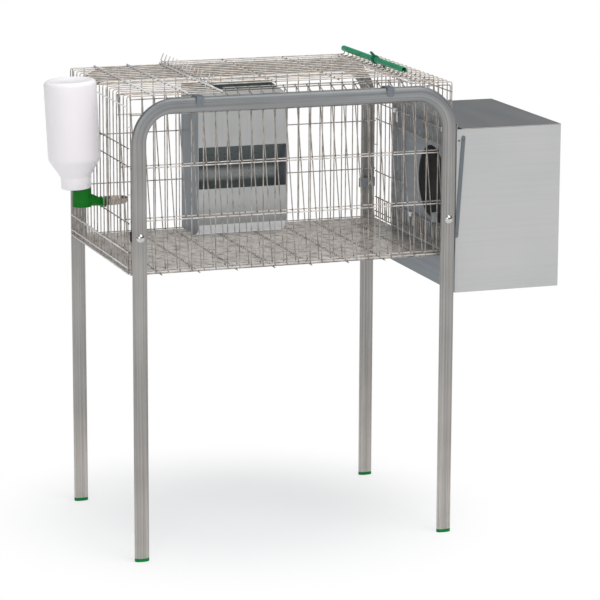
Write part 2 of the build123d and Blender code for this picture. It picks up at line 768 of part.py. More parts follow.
# Feeder: sheet hopper against the back panel, feeding opening towards the front.
feeder_right = feeder_left + feeder_w
feeder_back_y = cage_back - layer - wire_r - 2 * weld_gap
feeder_front_y = cage_back - feeder_front
feeder_low = floor_z + wire_r + feeder_lift
feeder_high = top_z - feeder_drop
open_low = floor_z + mouth_low
open_high = floor_z + mouth_high
ledge_y = feeder_front_y + feeder_ledge
toe_z = feeder_low + trough_bend_r
toe_y = feeder_front_y + trough_bend_r
toe_cut = trough_bend_r * (1 - cos(radians(45)))
toe_in = feeder_sheet * cos(radians(45))
with BuildPart() as feeder_hopper:
    for plate_x0 in (feeder_left, feeder_right - feeder_sheet):
        with BuildSketch(plane_x(plate_x0)):
            with BuildLine():
                Polyline(
                    (feeder_front_y, toe_z),
                    (feeder_front_y, feeder_high),
                    (feeder_back_y, feeder_high),
                    (feeder_back_y, feeder_low),
                    (toe_y, feeder_low),
                )
                ThreePointArc(
                    (toe_y, feeder_low),
                    (feeder_front_y + toe_cut, feeder_low + toe_cut),
                    (feeder_front_y, toe_z),
                )
            make_face()
        extrude(amount=feeder_sheet)
    with BuildSketch(plane_x(feeder_left)):
        with BuildLine():
            Polyline(
                (feeder_front_y, open_high),
                (feeder_front_y, feeder_high),
                (ledge_y, feeder_high),
                (ledge_y, feeder_high - feeder_sheet),
                (feeder_front_y + feeder_sheet, feeder_high - feeder_sheet),
                (feeder_front_y + feeder_sheet, open_high),
                close=True,
            )
        make_face()
    extrude(amount=feeder_w)
    with BuildSketch(plane_x(feeder_left)):
        with Locations((feeder_back_y - feeder_sheet / 2, (feeder_low + feeder_high) / 2)):
            Rectangle(feeder_sheet, feeder_high - feeder_low)
    extrude(amount=feeder_w)
feeder_hopper.part.label = "feeder_hopper"
export_step(feeder_hopper.part, "parts/feeder_hopper.step")

trough_x = feeder_left + feeder_sheet + weld_gap
trough_w = feeder_w - 2 * feeder_sheet - 2 * weld_gap
trough_back = feeder_back_y - feeder_sheet - weld_gap
with BuildPart() as feeder_trough:
    with BuildSketch(plane_x(trough_x)):
        with BuildLine():
            Polyline(
                (feeder_front_y + feeder_sheet, toe_z),
                (feeder_front_y + feeder_sheet, open_low),
                (feeder_front_y, open_low),
                (feeder_front_y, toe_z),
            )
            ThreePointArc(
                (feeder_front_y, toe_z),
                (feeder_front_y + toe_cut, feeder_low + toe_cut),
                (toe_y, feeder_low),
            )
            Polyline(
                (toe_y, feeder_low),
                (trough_back, feeder_low),
                (trough_back, feeder_low + feeder_sheet),
                (toe_y, feeder_low + feeder_sheet),
            )
            ThreePointArc(
                (toe_y, feeder_low + feeder_sheet),
                (feeder_front_y + toe_cut + toe_in, feeder_low + toe_cut + toe_in),
                (feeder_front_y + feeder_sheet, toe_z),
            )
        make_face()
    extrude(amount=trough_w)
feeder_trough.part.label = "feeder_trough"
export_step(feeder_trough.part, "parts/feeder_trough.step")

baffle_top = open_high + 2 * feeder_sheet
baffle_y = feeder_front_y + feeder_sheet + weld_gap
baffle_low_y = trough_back - baffle_gap
baffle_low_z = feeder_low + trough_bend_r + baffle_gap
belly = (
    (baffle_y + baffle_low_y) / 2 + baffle_bulge_y,
    (baffle_top + baffle_low_z) / 2 + baffle_bulge_z,
)
with BuildPart() as feeder_baffle:
    with BuildSketch(plane_x(trough_x)):
        with BuildLine():
            ThreePointArc((baffle_y, baffle_top), belly, (baffle_low_y, baffle_low_z))
            Line((baffle_low_y, baffle_low_z), (baffle_low_y + feeder_sheet, baffle_low_z))
            ThreePointArc(
                (baffle_low_y + feeder_sheet, baffle_low_z),
                (belly[0] + feeder_sheet, belly[1] + feeder_sheet),
                (baffle_y, baffle_top + 2 * feeder_sheet),
            )
            Line((baffle_y, baffle_top + 2 * feeder_sheet), (baffle_y, baffle_top))
        make_face()
    extrude(amount=trough_w)
feeder_baffle.part.label = "feeder_baffle"
export_step(feeder_baffle.part, "parts/feeder_baffle.step")

# Feeder hooks: strips riveted to its back, turned over a cross wire of the back panel.
hang_bar = back_bars[2]
hook_over = hang_bar + wire_r + hole_gap
feeder_hook_xs = [between(front_xs, feeder_left + feeder_w * s) for s in feeder_hook_shares]
hook_back = cage_back - layer + wire_r + hole_gap
with BuildPart() as feeder_hooks:
    for hook_x in feeder_hook_xs:
        with BuildSketch(plane_x(hook_x - hook_w / 2)):
            with BuildLine():
                Polyline(
                    (feeder_back_y + weld_gap / 2, hook_over),
                    (hook_back, hook_over),
                    (hook_back, hang_bar - 3 * wire_d),
                    (hook_back + hook_t, hang_bar - 3 * wire_d),
                    (hook_back + hook_t, hook_over + hook_t),
                    (feeder_back_y + weld_gap / 2, hook_over + hook_t),
                    close=True,
                )
            make_face()
        extrude(amount=hook_w)
feeder_hooks.part.label = "feeder_hooks"
export_step(feeder_hooks.part, "parts/feeder_hooks.step")

# Small hooks on the feeder's right side and the rivet on its trough front.
side_hook_y = feeder_front_y + 2 * side_hook_w
side_hook_x = feeder_right + weld_gap
with BuildPart() as feeder_side_hooks:
    for side_hook_z in (toe_z, toe_z + side_hook_step):
        with BuildSketch(plane_y(side_hook_y)):
            with BuildLine():
                Polyline(
                    (side_hook_x, side_hook_z - side_hook_h / 2),
                    (side_hook_x + side_hook_reach, side_hook_z - side_hook_h / 2),
                    (side_hook_x + side_hook_reach, side_hook_z + side_hook_h / 2),
                    (side_hook_x + side_hook_reach - hook_t, side_hook_z + side_hook_h / 2),
                    (side_hook_x + side_hook_reach - hook_t, side_hook_z - side_hook_h / 2 + hook_t),
                    (side_hook_x, side_hook_z - side_hook_h / 2 + hook_t),
                    close=True,
                )
            make_face()
        extrude(amount=side_hook_w)
feeder_side_hooks.part.label = "feeder_side_hooks"
export_step(feeder_side_hooks.part, "parts/feeder_side_hooks.step")

with BuildPart() as feeder_rivet:
    with BuildSketch(plane_y(feeder_front_y - weld_gap)):
        with Locations(((feeder_left + feeder_right) / 2, (toe_z + open_low) / 2)):
            RegularPolygon(rivet_r, rivet_sides)
    extrude(amount=rivet_r / 2, taper=rivet_taper)
feeder_rivet.part.label = "feeder_rivet"
export_step(feeder_rivet.part, "parts/feeder_rivet.step")

# Nest box: open-topped sheet box with a round entrance, its cage wall standing higher.
pin_x = nest_left + nest_sheet + nest_pin_r + knuckle_wall + 2 * nest_lid_gap
pin_z = nest_top + nest_lid_t + nest_pin_r
knuckle_r = nest_pin_r + nest_run_gap + knuckle_wall
knuckle_mids = [nest_front + nest_depth * s for s in knuckle_shares]
lid_knuckle_mids = [nest_front + nest_depth * s for s in lid_knuckle_shares]
with BuildPart() as nest_box:
    with BuildSketch(plane_z(nest_bottom)):
        with Locations(((nest_left + nest_right) / 2, (nest_front + nest_back) / 2)):
            Rectangle(nest_w, nest_depth)
    extrude(amount=nest_h)
    with BuildSketch(plane_z(nest_bottom + nest_sheet)):
        with Locations(((nest_left + nest_right) / 2, (nest_front + nest_back) / 2)):
            Rectangle(nest_w - 2 * nest_sheet, nest_depth - 2 * nest_sheet)
    extrude(amount=nest_h, mode=Mode.SUBTRACT)
    with BuildSketch(plane_x(nest_left)):
        with Locations(((nest_front + nest_back) / 2, nest_top + nest_upstand / 2)):
            Rectangle(nest_depth, nest_upstand)
    extrude(amount=nest_sheet)
    with BuildSketch(plane_x(nest_left - nest_gap / 2)):
        with Locations((entrance_y, floor_z + entrance_z)):
            Circle(entrance_r)
    extrude(amount=nest_gap, mode=Mode.SUBTRACT)
    for knuckle_mid in knuckle_mids:
        with BuildSketch(plane_y(knuckle_mid + knuckle_l / 2)):
            with Locations((pin_x, pin_z)):
                Circle(knuckle_r)
            with Locations(((nest_left + pin_x) / 2, pin_z)):
                Rectangle(pin_x - nest_left, 2 * knuckle_wall)
            with Locations((pin_x, pin_z)):
                Circle(nest_pin_r + nest_run_gap, mode=Mode.SUBTRACT)
        extrude(amount=knuckle_l)
nest_box.part.label = "nest_box"
export_step(nest_box.part, "parts/nest_box.step")

nest_pin_l = knuckle_mids[-1] - knuckle_mids[0] + knuckle_l + 2 * nest_pin_r
with BuildPart() as nest_hinge_pin:
    with BuildSketch(plane_y(knuckle_mids[-1] + knuckle_l / 2 + nest_pin_r)):
        with Locations((pin_x, pin_z)):
            Circle(nest_pin_r)
    extrude(amount=nest_pin_l)
nest_hinge_pin.part.label = "nest_hinge_pin"
export_step(nest_hinge_pin.part, "parts/nest_hinge_pin.step")

# Nest lid: flat sheet with a lip inside the walls, and two knuckles on the pin.
lid_plate_left = pin_x + knuckle_r + nest_lid_gap
lid_plate_z = nest_top + hole_gap
lip_in = nest_sheet + nest_lid_gap
lip_left = lid_plate_left + nest_lid_gap
with BuildPart() as nest_lid:
    with BuildSketch(plane_z(lid_plate_z)):
        with Locations(((lid_plate_left + nest_right) / 2, (nest_front + nest_back) / 2)):
            Rectangle(nest_right - lid_plate_left, nest_depth)
    extrude(amount=nest_lid_t)
    with BuildSketch(plane_z(lid_plate_z - nest_lid_lip)):
        with Locations(((lip_left + nest_right - lip_in) / 2, (nest_front + nest_back) / 2)):
            Rectangle(nest_right - lip_in - lip_left, nest_depth - 2 * lip_in)
            Rectangle(
                nest_right - lip_in - lip_left - 2 * nest_sheet,
                nest_depth - 2 * lip_in - 2 * nest_sheet,
                mode=Mode.SUBTRACT,
            )
    extrude(amount=nest_lid_lip + nest_lid_t / 2)
    for knuckle_mid in lid_knuckle_mids:
        with BuildSketch(plane_y(knuckle_mid + knuckle_l / 2)):
            with Locations((pin_x, pin_z)):
                Circle(knuckle_r)
            with BuildLine():
                Polyline(
                    (pin_x, lid_plate_z),
                    (lid_plate_left + nest_lid_gap, lid_plate_z),
                    (lid_plate_left + nest_lid_gap, lid_plate_z + nest_lid_t),
                    (pin_x, lid_plate_z + nest_lid_t),
                    close=True,
                )
            make_face()
            with Locations((pin_x, pin_z)):
                Circle(nest_pin_r + nest_run_gap, mode=Mode.SUBTRACT)
        extrude(amount=knuckle_l)
nest_lid.part.label = "nest_lid"
export_step(nest_lid.part, "parts/nest_lid.step")

# Nest stay: a slanting strip on the front of the nest box, held by two rivets.
stay_top = (nest_left + stay_top_in, nest_top - stay_top_drop)
stay_low = (nest_left + stay_low_in, nest_top - stay_low_drop)
stay_l = hypot(stay_top[0] - stay_low[0], stay_top[1] - stay_low[1])
stay_angle = degrees(atan2(stay_top[1] - stay_low[1], stay_top[0] - stay_low[0]))
stay_mid = ((stay_top[0] + stay_low[0]) / 2, (stay_top[1] + stay_low[1]) / 2)
stay_ends = [
    (
        stay_mid[0] + side * (stay_l / 2 - stay_w) * cos(radians(stay_angle)),
        stay_mid[1] + side * (stay_l / 2 - stay_w) * sin(radians(stay_angle)),
    )
    for side in (-1, 1)
]
with BuildPart() as nest_stay:
    with BuildSketch(plane_y(nest_front - weld_gap)):
        with Locations(stay_mid):
            SlotOverall(stay_l, stay_w, rotation=stay_angle)
    extrude(amount=stay_t)
nest_stay.part.label = "nest_stay"
export_step(nest_stay.part, "parts/nest_stay.step")

with BuildPart() as nest_rivets:
    with BuildSketch(plane_y(nest_front - stay_t - 2 * weld_gap)):
        with Locations(*stay_ends):
            RegularPolygon(rivet_r, rivet_sides)
    extrude(amount=rivet_r / 2, taper=rivet_taper)
    with BuildSketch(plane_y(nest_front - weld_gap)):
        with Locations((nest_left + 2 * rivet_r, nest_top - corner_rivet_drop)):
            RegularPolygon(rivet_r, rivet_sides)
    extrude(amount=rivet_r / 2, taper=rivet_taper)
nest_rivets.part.label = "nest_rivets"
export_step(nest_rivets.part, "parts/nest_rivets.step")

# Nest hooks: strips on the cage wall of the nest, turned over cross wires of the side panel.
hook_top_bar = side_bars[5]
hook_low_bar = side_bars[2]
nest_hook_spots = [(share, hook_top_bar) for share in top_hook_shares] + [(low_hook_share, hook_low_bar)]
hook_out = nest_left - weld_gap
hook_in = side_x - layer - wire_r - hole_gap - hook_t
with BuildPart() as nest_hooks:
    for share, bar_z in nest_hook_spots:
        hook_y = between(side_ys, nest_front + nest_depth * share)
        hook_z = bar_z + wire_r + hole_gap
        with BuildSketch(plane_y(hook_y + hook_w / 2)):
            with BuildLine():
                Polyline(
                    (hook_out, hook_z - 2 * hook_w),
                    (hook_out, hook_z + hook_t),
                    (hook_in, hook_z + hook_t),
                    (hook_in, hook_z - hook_w / 2),
                    (hook_in + hook_t, hook_z - hook_w / 2),
                    (hook_in + hook_t, hook_z),
                    (hook_out - hook_t, hook_z),
                    (hook_out - hook_t, hook_z - 2 * hook_w),
                    close=True,
                )
            make_face()
        extrude(amount=hook_w)
nest_hooks.part.label = "nest_hooks"
export_step(nest_hooks.part, "parts/nest_hooks.step")

# Drinker: bottle upside down on a cap, elbow with a grooved neck between two side wires.
drink_y = between(side_ys, drinker_y)
drink_z = side_bars[saver_bars] + wire_r + neck_r + drinker_lift
cap_foot_z = drink_z - cap_drop
collar_z = cap_foot_z + cap_h
bottle_plane = Plane(
    origin=(cage_x + bottle_foot_x, drink_y, collar_z),
    x_dir=(cos(tilt), 0, sin(tilt)),
    z_dir=(0, -1, 0),
)
with BuildPart() as bottle:
    with BuildSketch(bottle_plane):
        with BuildLine():
            Polyline(
                (0, 0),
                (collar_r, 0),
                (collar_r, collar_h),
                (bottle_r, collar_h + bottle_cone),
                (bottle_r, bottle_len - bottle_rim_r),
            )
            RadiusArc(
                (bottle_r, bottle_len - bottle_rim_r),
                (bottle_r - bottle_rim_r, bottle_len),
                -bottle_rim_r,
            )
            Polyline(
                (bottle_r - bottle_rim_r, bottle_len),
                (0, bottle_len),
                (0, bottle_len - bottle_wall),
                (bottle_r - bottle_rim_r, bottle_len - bottle_wall),
                (bottle_r - bottle_wall, bottle_len - bottle_rim_r),
                (bottle_r - bottle_wall, collar_h + bottle_cone),
                (collar_r - bottle_wall, collar_h),
                (collar_r - bottle_wall, bottle_wall),
                (0, bottle_wall),
                (0, 0),
            )
        make_face()
    revolve(axis=Axis(bottle_plane.origin, bottle_plane.y_dir))
bottle.part.label = "bottle"
export_step(bottle.part, "parts/bottle.step")

# The cap's top is cut to the lean of the bottle. Its elbow ends in a neck with two flanges.
cap_x = bottle_foot_x + cap_shift
out_face = -side_x - wire_r - weld_gap
in_face = -side_x + layer + wire_r + weld_gap
cap_cut = Plane(origin=bottle_plane.origin, x_dir=(0, 1, 0), z_dir=bottle_plane.y_dir)
elbow_rise = cap_foot_z + elbow_r - drink_z
elbow_run = out_face - flange_t - cap_x
elbow_l = hypot(elbow_run, elbow_rise)
elbow_taper = degrees(atan2(elbow_r - neck_r, elbow_l))
elbow_plane = Plane(
    origin=(cage_x + cap_x, drink_y, cap_foot_z + elbow_r),
    x_dir=(0, 1, 0), z_dir=(elbow_run, 0, -elbow_rise),
)
with BuildPart() as drinker_cap:
    with BuildSketch(plane_z(cap_foot_z)):
        with Locations((cap_x, drink_y)):
            Circle(cap_r)
    extrude(amount=cap_h + cap_r)
    split(bisect_by=cap_cut.offset(-weld_gap), keep=Keep.BOTTOM)
    with BuildSketch(elbow_plane):
        Circle(elbow_r)
    extrude(amount=elbow_l, taper=elbow_taper)
    with BuildSketch(plane_x(out_face - flange_t)):
        with Locations((drink_y, drink_z)):
            Circle(flange_r)
    extrude(amount=flange_t)
    with BuildSketch(plane_x(out_face - flange_t)):
        with Locations((drink_y, drink_z)):
            Circle(neck_r)
    extrude(amount=in_face - out_face + 2 * flange_t)
    with BuildSketch(plane_x(in_face)):
        with Locations((drink_y, drink_z)):
            Circle(flange_r)
    extrude(amount=flange_t)
drinker_cap.part.label = "drinker_cap"
export_step(drinker_cap.part, "parts/drinker_cap.step")

# Drinking cup: an open steel bowl on the inner flange.
cup_spread = cup_h * tan(radians(cup_flare))
cup_low_z = drink_z + cup_rise - cup_h
cup_x = in_face + flange_t + weld_gap + cup_l / 2
with BuildPart() as drinker_cup:
    with BuildSketch(plane_z(cup_low_z)):
        with Locations((cup_x, drink_y)):
            RectangleRounded(cup_l - 2 * cup_spread, cup_w - 2 * cup_spread, cup_corner_r - cup_spread)
    extrude(amount=cup_h, taper=-cup_flare)
    with BuildSketch(plane_z(cup_low_z + cup_sheet)):
        with Locations((cup_x, drink_y)):
            RectangleRounded(
                cup_l - 2 * cup_spread - 2 * cup_sheet,
                cup_w - 2 * cup_spread - 2 * cup_sheet,
                cup_corner_r - cup_spread - cup_sheet,
            )
    extrude(amount=cup_h, taper=-cup_flare, mode=Mode.SUBTRACT)
drinker_cup.part.label = "drinker_cup"
export_step(drinker_cup.part, "parts/drinker_cup.step")
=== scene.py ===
from math import asin, cos, degrees, hypot, pi, radians, sin, tan

import bmesh
import bpy
import numpy as np
from bpy.props import FloatProperty, FloatVectorProperty, IntProperty, PointerProperty
from mathutils import Matrix, Vector


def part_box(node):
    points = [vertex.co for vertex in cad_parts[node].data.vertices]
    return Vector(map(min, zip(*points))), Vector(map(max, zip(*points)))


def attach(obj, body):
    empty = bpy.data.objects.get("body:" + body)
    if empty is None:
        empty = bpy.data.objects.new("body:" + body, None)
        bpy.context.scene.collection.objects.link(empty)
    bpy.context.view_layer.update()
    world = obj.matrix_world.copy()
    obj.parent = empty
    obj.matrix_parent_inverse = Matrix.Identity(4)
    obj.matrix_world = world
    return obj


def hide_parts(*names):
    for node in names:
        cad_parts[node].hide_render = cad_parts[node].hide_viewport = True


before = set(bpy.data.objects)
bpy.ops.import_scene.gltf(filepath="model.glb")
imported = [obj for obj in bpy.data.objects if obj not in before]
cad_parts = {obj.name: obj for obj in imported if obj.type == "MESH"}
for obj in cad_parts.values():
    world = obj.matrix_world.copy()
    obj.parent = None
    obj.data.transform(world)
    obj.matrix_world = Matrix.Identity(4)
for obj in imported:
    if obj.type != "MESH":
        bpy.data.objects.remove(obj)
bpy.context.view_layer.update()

bl_info = {
    "name": "Rabbit cage",
    "version": (1, 0, 0),
    "blender": (4, 5, 0),
    "location": "View3D > Sidebar > Rabbit cage",
    "description": "Dresses the rabbit cage's solids as welded wire, bent tube, sheet and moulded plastic",
    "category": "Object",
}

MM = 0.001
WHITE = (1.0, 1.0, 1.0)
# Span in which most values of a noise lie.
NOISE_SPAN = (0.3, 0.7)

# How the solids of the wires are read and drawn.
END_SLAB = 1.5 * MM  # Corners this near to a wire's tip make up its end.
OPEN_MITRE = 3.2 * MM  # Widest gap between the straight lengths of a bent wire.
SAME_RADIUS = 0.2 * MM  # Largest difference of radius along a bent wire.
LEAST_STEP = 0.2 * MM  # Rings of a drawn wire stand at least this far apart.
ALONG = 0.99  # Cosine above which a wire counts as lying along an axis.
STRAIGHT_ON = 0.97  # Cosine from which two wires that meet make no bend.
WELD_GAP = 1.15  # Wires are welded where they pass within this multiple of both radii.
SAME_WAY = 0.05  # Squared sine below which two wires run the same way and can't cross.
BEND_SHARE = 0.96  # Largest share of a straight length that one bend takes up.
# The third finish is a painted highlight: rods and the left side's bright cross wires are painted near
# white.
PLAIN, BAR, LIT_ROD = range(3)  # Places of the wire finishes on a mesh panel.

# How the solids of the other pieces are read.
SAME_CORNER = 2e-6  # Corners nearer than this, in metres, are one.
FLAT_TURN = 0.5  # Faces that turn by less than this, in degrees, are one.
FACING = 0.9  # Cosine above which a face looks one way.

# Each welded mesh of the cage: new piece, solid that it stands for, body.
MESHES = (
    ("front_mesh", "front_panel", "base"),
    ("hay_rack_mesh", "hay_rack", "base"),
    ("back_mesh", "back_panel", "base"),
    ("left_side_mesh", "left_side_panel", "base"),
    ("right_side_mesh", "right_side_panel", "base"),
    ("floor_mesh", "floor_panel", "base"),
    ("lid_mesh", "lid", "lid"),
)
# The fixed tops are the bent ends of the side wires.
TOPS = (
    ("top_left_mesh", "top_left_panel", "left_side_panel"),
    ("top_right_mesh", "top_right_panel", "right_side_panel"),
)


def number(name, value, description, **more):
    """Property for a plain number."""
    return FloatProperty(name=name, description=description, default=value, **more)


def length(name, millimetres, description):
    """Property for a length, given in millimetres and kept in metres."""
    return number(name, millimetres * MM, description, min=0.0, unit="LENGTH", precision=5)


def share(name, value, description):
    """Property for a share between nought and one."""
    return number(name, value, description, min=0.0, max=1.0, subtype="FACTOR")


def spot(name, place, description):
    """Property for a place in the frame, in metres."""
    return FloatVectorProperty(
        name=name, description=description, default=place, size=3, subtype="TRANSLATION",
    )


def tint(name, red, green, blue, description):
    """Property for a colour, given as it looks on a screen, from 0 to 255."""
    def linear(level):
        level = level / 255
        return level / 12.92 if level <= 0.04045 else ((level + 0.055) / 1.055) ** 2.4
    return FloatVectorProperty(
        name=name, description=description, size=3, subtype="COLOR", min=0.0, max=1.0,
        default=(linear(red), linear(green), linear(blue)),
    )


class CageWire(bpy.types.PropertyGroup):
    """Looks of the welded wire."""
    fullness: number(
        "Fullness", 1.1, "Drawn wire radius as a multiple of the solid's, so that crossings touch",
        min=1.0, max=1.2,
    )
    rod_fullness: number(
        "Rod fullness", 1.2, "Drawn rod radius as a multiple of the solid's", min=1.0, max=1.3,
    )
    sides: IntProperty(name="Sides", description="Sides of a drawn wire", default=8, min=5, max=16)
    bend: length("Bend", 4.0, "Radius of the bends over the top edge and at the comb and slot lip")
    weld_reach: length("Weld reach", 1.9, "Half the length of the upset metal at a weld")
    weld_swell: share("Weld swell", 0.1, "How much a wire thickens at a weld")
    rod_least: length("Rod radius", 1.4, "Wires at least this thick count as bright rods")
    zinc: tint("Zinc", 180, 173, 166, "Bright zinc on the wire")
    dull: tint("Dull zinc", 126, 119, 112, "Dull, brownish zinc on the wire")
    # Painted light: the wires of the top and the lid are painted paler than the rest, for the light that
    # falls on them from above.
    pale: tint("Pale zinc", 222, 213, 204, "Paler zinc on the wires of the top and the lid")
    lit_top_dull: tint("Pale zinc, dull", 176, 166, 155, "Dull zinc on the wires of the top and the lid")
    weld: tint("Weld", 78, 66, 57, "Burnt metal at the welds")
    bar: tint("Bar", 220, 214, 210, "Brighter cross wires of the front and side panels")
    # Painted highlight: the rods are painted near white for the light along their tops.
    rod: tint("Rod", 246, 247, 248, "Bright rods of the top")
    comb: length("Comb", 17.0, "Height of the bright wire ends that stand up along the lid's hinge")
    bar_foot: length("Foot bars", 640.0, "Cross wires of the left side below this height are bright")
    bar_head: length("Head bars", 900.0, "Cross wires of the left side above this height are bright")
    rack_lift: length("Rack lift", 21.0, "How far the hay rack's middle cross wires stand above the solids'")


class CageTube(bpy.types.PropertyGroup):
    """Looks of the two tube frames and their fixings."""
    width: length("Tube width", 30.0, "Broad side of the flattened tube")
    depth: length("Tube depth", 15.0, "Narrow side of the flattened tube")
    fullness: number(
        "Squareness", 2.3, "Exponent of the tube's outline: 2 is an ellipse, more is squarer",
        min=2.0, max=8.0,
    )
    bend: length("Bend", 72.0, "Radius of the bends, on the tube's middle line")
    groove: length("Groove depth", 0.6, "Depth of the long grooves")
    groove_half: length("Groove half width", 2.2, "Half the width of a long groove")
    groove_off: length("Groove offset", 5.0, "Distance of a groove from the tube's middle")
    # Painted light: the streak colours are set for the foot, which is painted lighter than the legs above
    # it.
    zinc: tint("Zinc", 230, 224, 218, "Bright streaks on the tube, at the foot")
    dull: tint("Dull zinc", 163, 159, 155, "Dull streaks on the tube, at the foot")
    # Painted light: the legs are toned down from the foot, which stays painted lighter; the level runs at
    # the head are painted darker and bluer as shade.
    leg: tint("Leg", 193, 195, 197, "Tone of the upper legs against the foot's")
    head: tint("Head", 174, 181, 187, "Tone of the level runs at the top of the tube against the foot's")
    bolt: tint("Bolt", 206, 204, 200, "Polished bolts")
    plate: tint("Plate", 160, 165, 168, "Clamp plates and nuts")
    clip: tint("Clip", 126, 132, 137, "Clips on the front tube")
    foot: tint("Foot cap", 0, 122, 56, "Moulded foot caps")
    spacer: tint("Spacer", 26, 26, 27, "Black spacers")


class CageSheet(bpy.types.PropertyGroup):
    """Looks of the sheet metal."""
    worn: length("Worn edge", 0.35, "Width of the rounding on sheet edges")
    top_fall: length("Top fall", 8.0, "How far the feeder's top lies below the solid's at the front")
    top_rise: length("Top rise", 4.0, "How far the feeder's top lies above the solid's at the back")
    ledge_cut: length(
        "Ledge cut", 9.0, "How much shorter the ledge before the feeder's mouth is than the solid's",
    )
    zinc: tint("Zinc", 193, 193, 192, "Bright rolled zinc of the nest box")
    dull: tint("Dull zinc", 183, 184, 184, "Dull streaks on the nest box")
    feeder: tint("Feeder", 196, 197, 196, "Zinc of the feeder")
    feeder_dull: tint("Feeder, dull", 180, 182, 182, "Dull streaks on the feeder")
    low: tint("Feeder, low", 200, 200, 201, "Darker tone at the foot of the feeder's front")
    lid: tint("Nest lid", 194, 189, 184, "Zinc of the nest lid")
    lid_dull: tint("Nest lid, dull", 182, 178, 174, "Darkest clouds on the nest lid")
    # Painted shade: the sides that look to -X, away from the key lamp, are painted darker.
    shaded_side: tint(
        "Cage side", 120, 127, 133, "Duller zinc on the sides that face the bottle's end of the cage",
    )
    # Painted highlight and shade: the baffle's curved belly is painted bright and the sheet above and below
    # it darker.
    baffle_shade: tint("Gloom", 146, 152, 154, "Tint of the baffle above and below its bright belly")
    inside: tint("Inside", 236, 240, 240, "Duller zinc inside the feeder")
    # Painted shade: the wall inside the feeder's mouth is painted dark, where shade falls.
    mouth: tint("Mouth", 84, 102, 106, "Dark wall inside the feeder's mouth")
    # Painted reflection: the bent toe is painted bright for the white floor that it mirrors.
    toe: tint("Toe", 219, 221, 224, "Bright zinc on the bent toe of the trough")
    strip: tint("Strip", 112, 119, 124, "Dull strip of the stay")
    hook: tint("Hook", 236, 239, 245, "Bright hooks of the nest box")


class CageDrinker(bpy.types.PropertyGroup):
    """Sizes and looks of the drinker, and of the green plastic on the lid."""
    bottle_radius: length("Bottle radius", 53.0, "Radius of the bottle")
    rim: length("Rim", 9.0, "Rounding at the top of the bottle")
    collar_radius: length("Collar radius", 30.3, "Radius of the bottle's collar")
    collar: length("Collar", 24.0, "Length of the collar")
    cone: length("Shoulder", 36.0, "Length of the shoulder above the collar")
    milky: tint("Bottle", 248, 244, 247, "Milky plastic of the bottle")
    shade: tint("Bottle, shaded", 243, 238, 242, "Thicker milky plastic")
    cap: tint("Cap", 0, 108, 22, "Green drinker cap")
    cup: tint("Cup", 180, 169, 158, "Pressed steel of the cup")
    cup_rise: share("Cup rise", 0.3, "How much shallower the cup is at its far end")
    tube: tint("Edge tube", 42, 150, 106, "Green edge tube of the lid")
    latch: tint("Latch", 14, 104, 84, "Dark green latch")


class CageStage(bpy.types.PropertyGroup):
    """Camera, floor and light."""
    eye: spot("Camera place", (-1.9933, -5.7772, 1.7961), "Where the camera stands")
    yaw: number("Yaw", 0.337145511, "Camera turned to the right", subtype="ANGLE")
    pitch: number("Pitch", 0.214556374, "Camera turned down", subtype="ANGLE")
    roll: number("Roll", 0.00384761749, "Camera roll", subtype="ANGLE")
    lens: number("Lens", 178.85, "Focal length in millimetres")
    floor: tint("Floor", 246, 247, 248, "Pale floor")
    floor_radius: length("Floor radius", 1250.0, "Radius of the floor")
    shadow: spot("Shadow", (-0.1, 0.02, 0.0), "Place on the floor about which the shadow is kept")
    overhead: tint("Overhead", 108, 118, 127, "Backdrop overhead, where only the metal shows it")
    ambient: share("Ambient", 0.62, "Even light from all round")
    key: number("Key lamp", 85.0, "Power of the key lamp", unit="POWER")
    fill: number("Fill lamp", 45.0, "Power of the fill lamp", unit="POWER")
    top: number("Top lamp", 25.0, "Power of the top lamp", unit="POWER")


class Tree:
    """Nodes of a material or of the world, with short ways to add and join them."""

    def __init__(self, owner):
        owner.use_nodes = True
        self.owner = owner
        self.nodes, self.links = owner.node_tree.nodes, owner.node_tree.links

    def feed(self, node, inputs):
        """Gives each input its value, or a link from the socket that stands for it."""
        for key, value in inputs.items():
            if isinstance(value, bpy.types.NodeSocket):
                self.links.new(value, node.inputs[key])
            else:
                node.inputs[key].default_value = value

    def add(self, kind, inputs=None, output=0, **settings):
        """New node, of which one output is given back."""
        node = self.nodes.new("ShaderNode" + kind)
        for key, value in settings.items():
            setattr(node, key, value)
        self.feed(node, inputs or {})
        return node.outputs[output]

    def ramp(self, value, stops):
        """Colours at places from nought to one, read at a value."""
        colour = self.add("ValToRGB", {"Fac": value}, "Color")
        ends = colour.node.color_ramp.elements
        while len(ends) < len(stops):
            ends.new(0.5)
        for end, (place, shade) in zip(ends, stops):
            end.position = place
            end.color = (*shade, 1.0)
        return colour

    def ranged(self, value, start, stop, low=0.0, high=1.0, **settings):
        """Value carried from start-stop to low-high."""
        ends = {"Value": value, "From Min": start, "From Max": stop, "To Min": low, "To Max": high}
        return self.add("MapRange", ends, "Result", **settings)

    def shown_rays(self):
        """One for rays that show the background: the camera's, and those that metal or glass sends on."""
        value = self.add("LightPath", output="Is Camera Ray")
        kinds = value.node.outputs
        for kind in ("Is Glossy Ray", "Is Transmission Ray"):
            value = self.add("Math", {0: value, 1: kinds[kind]}, operation="MAXIMUM")
        return value

    def show(self, end, factor, first, second):
        """Ends the tree in a mix of two shaders."""
        both = self.add("MixShader", {"Fac": factor, 1: first, 2: second})
        self.feed(self.nodes[end], {"Surface": both})


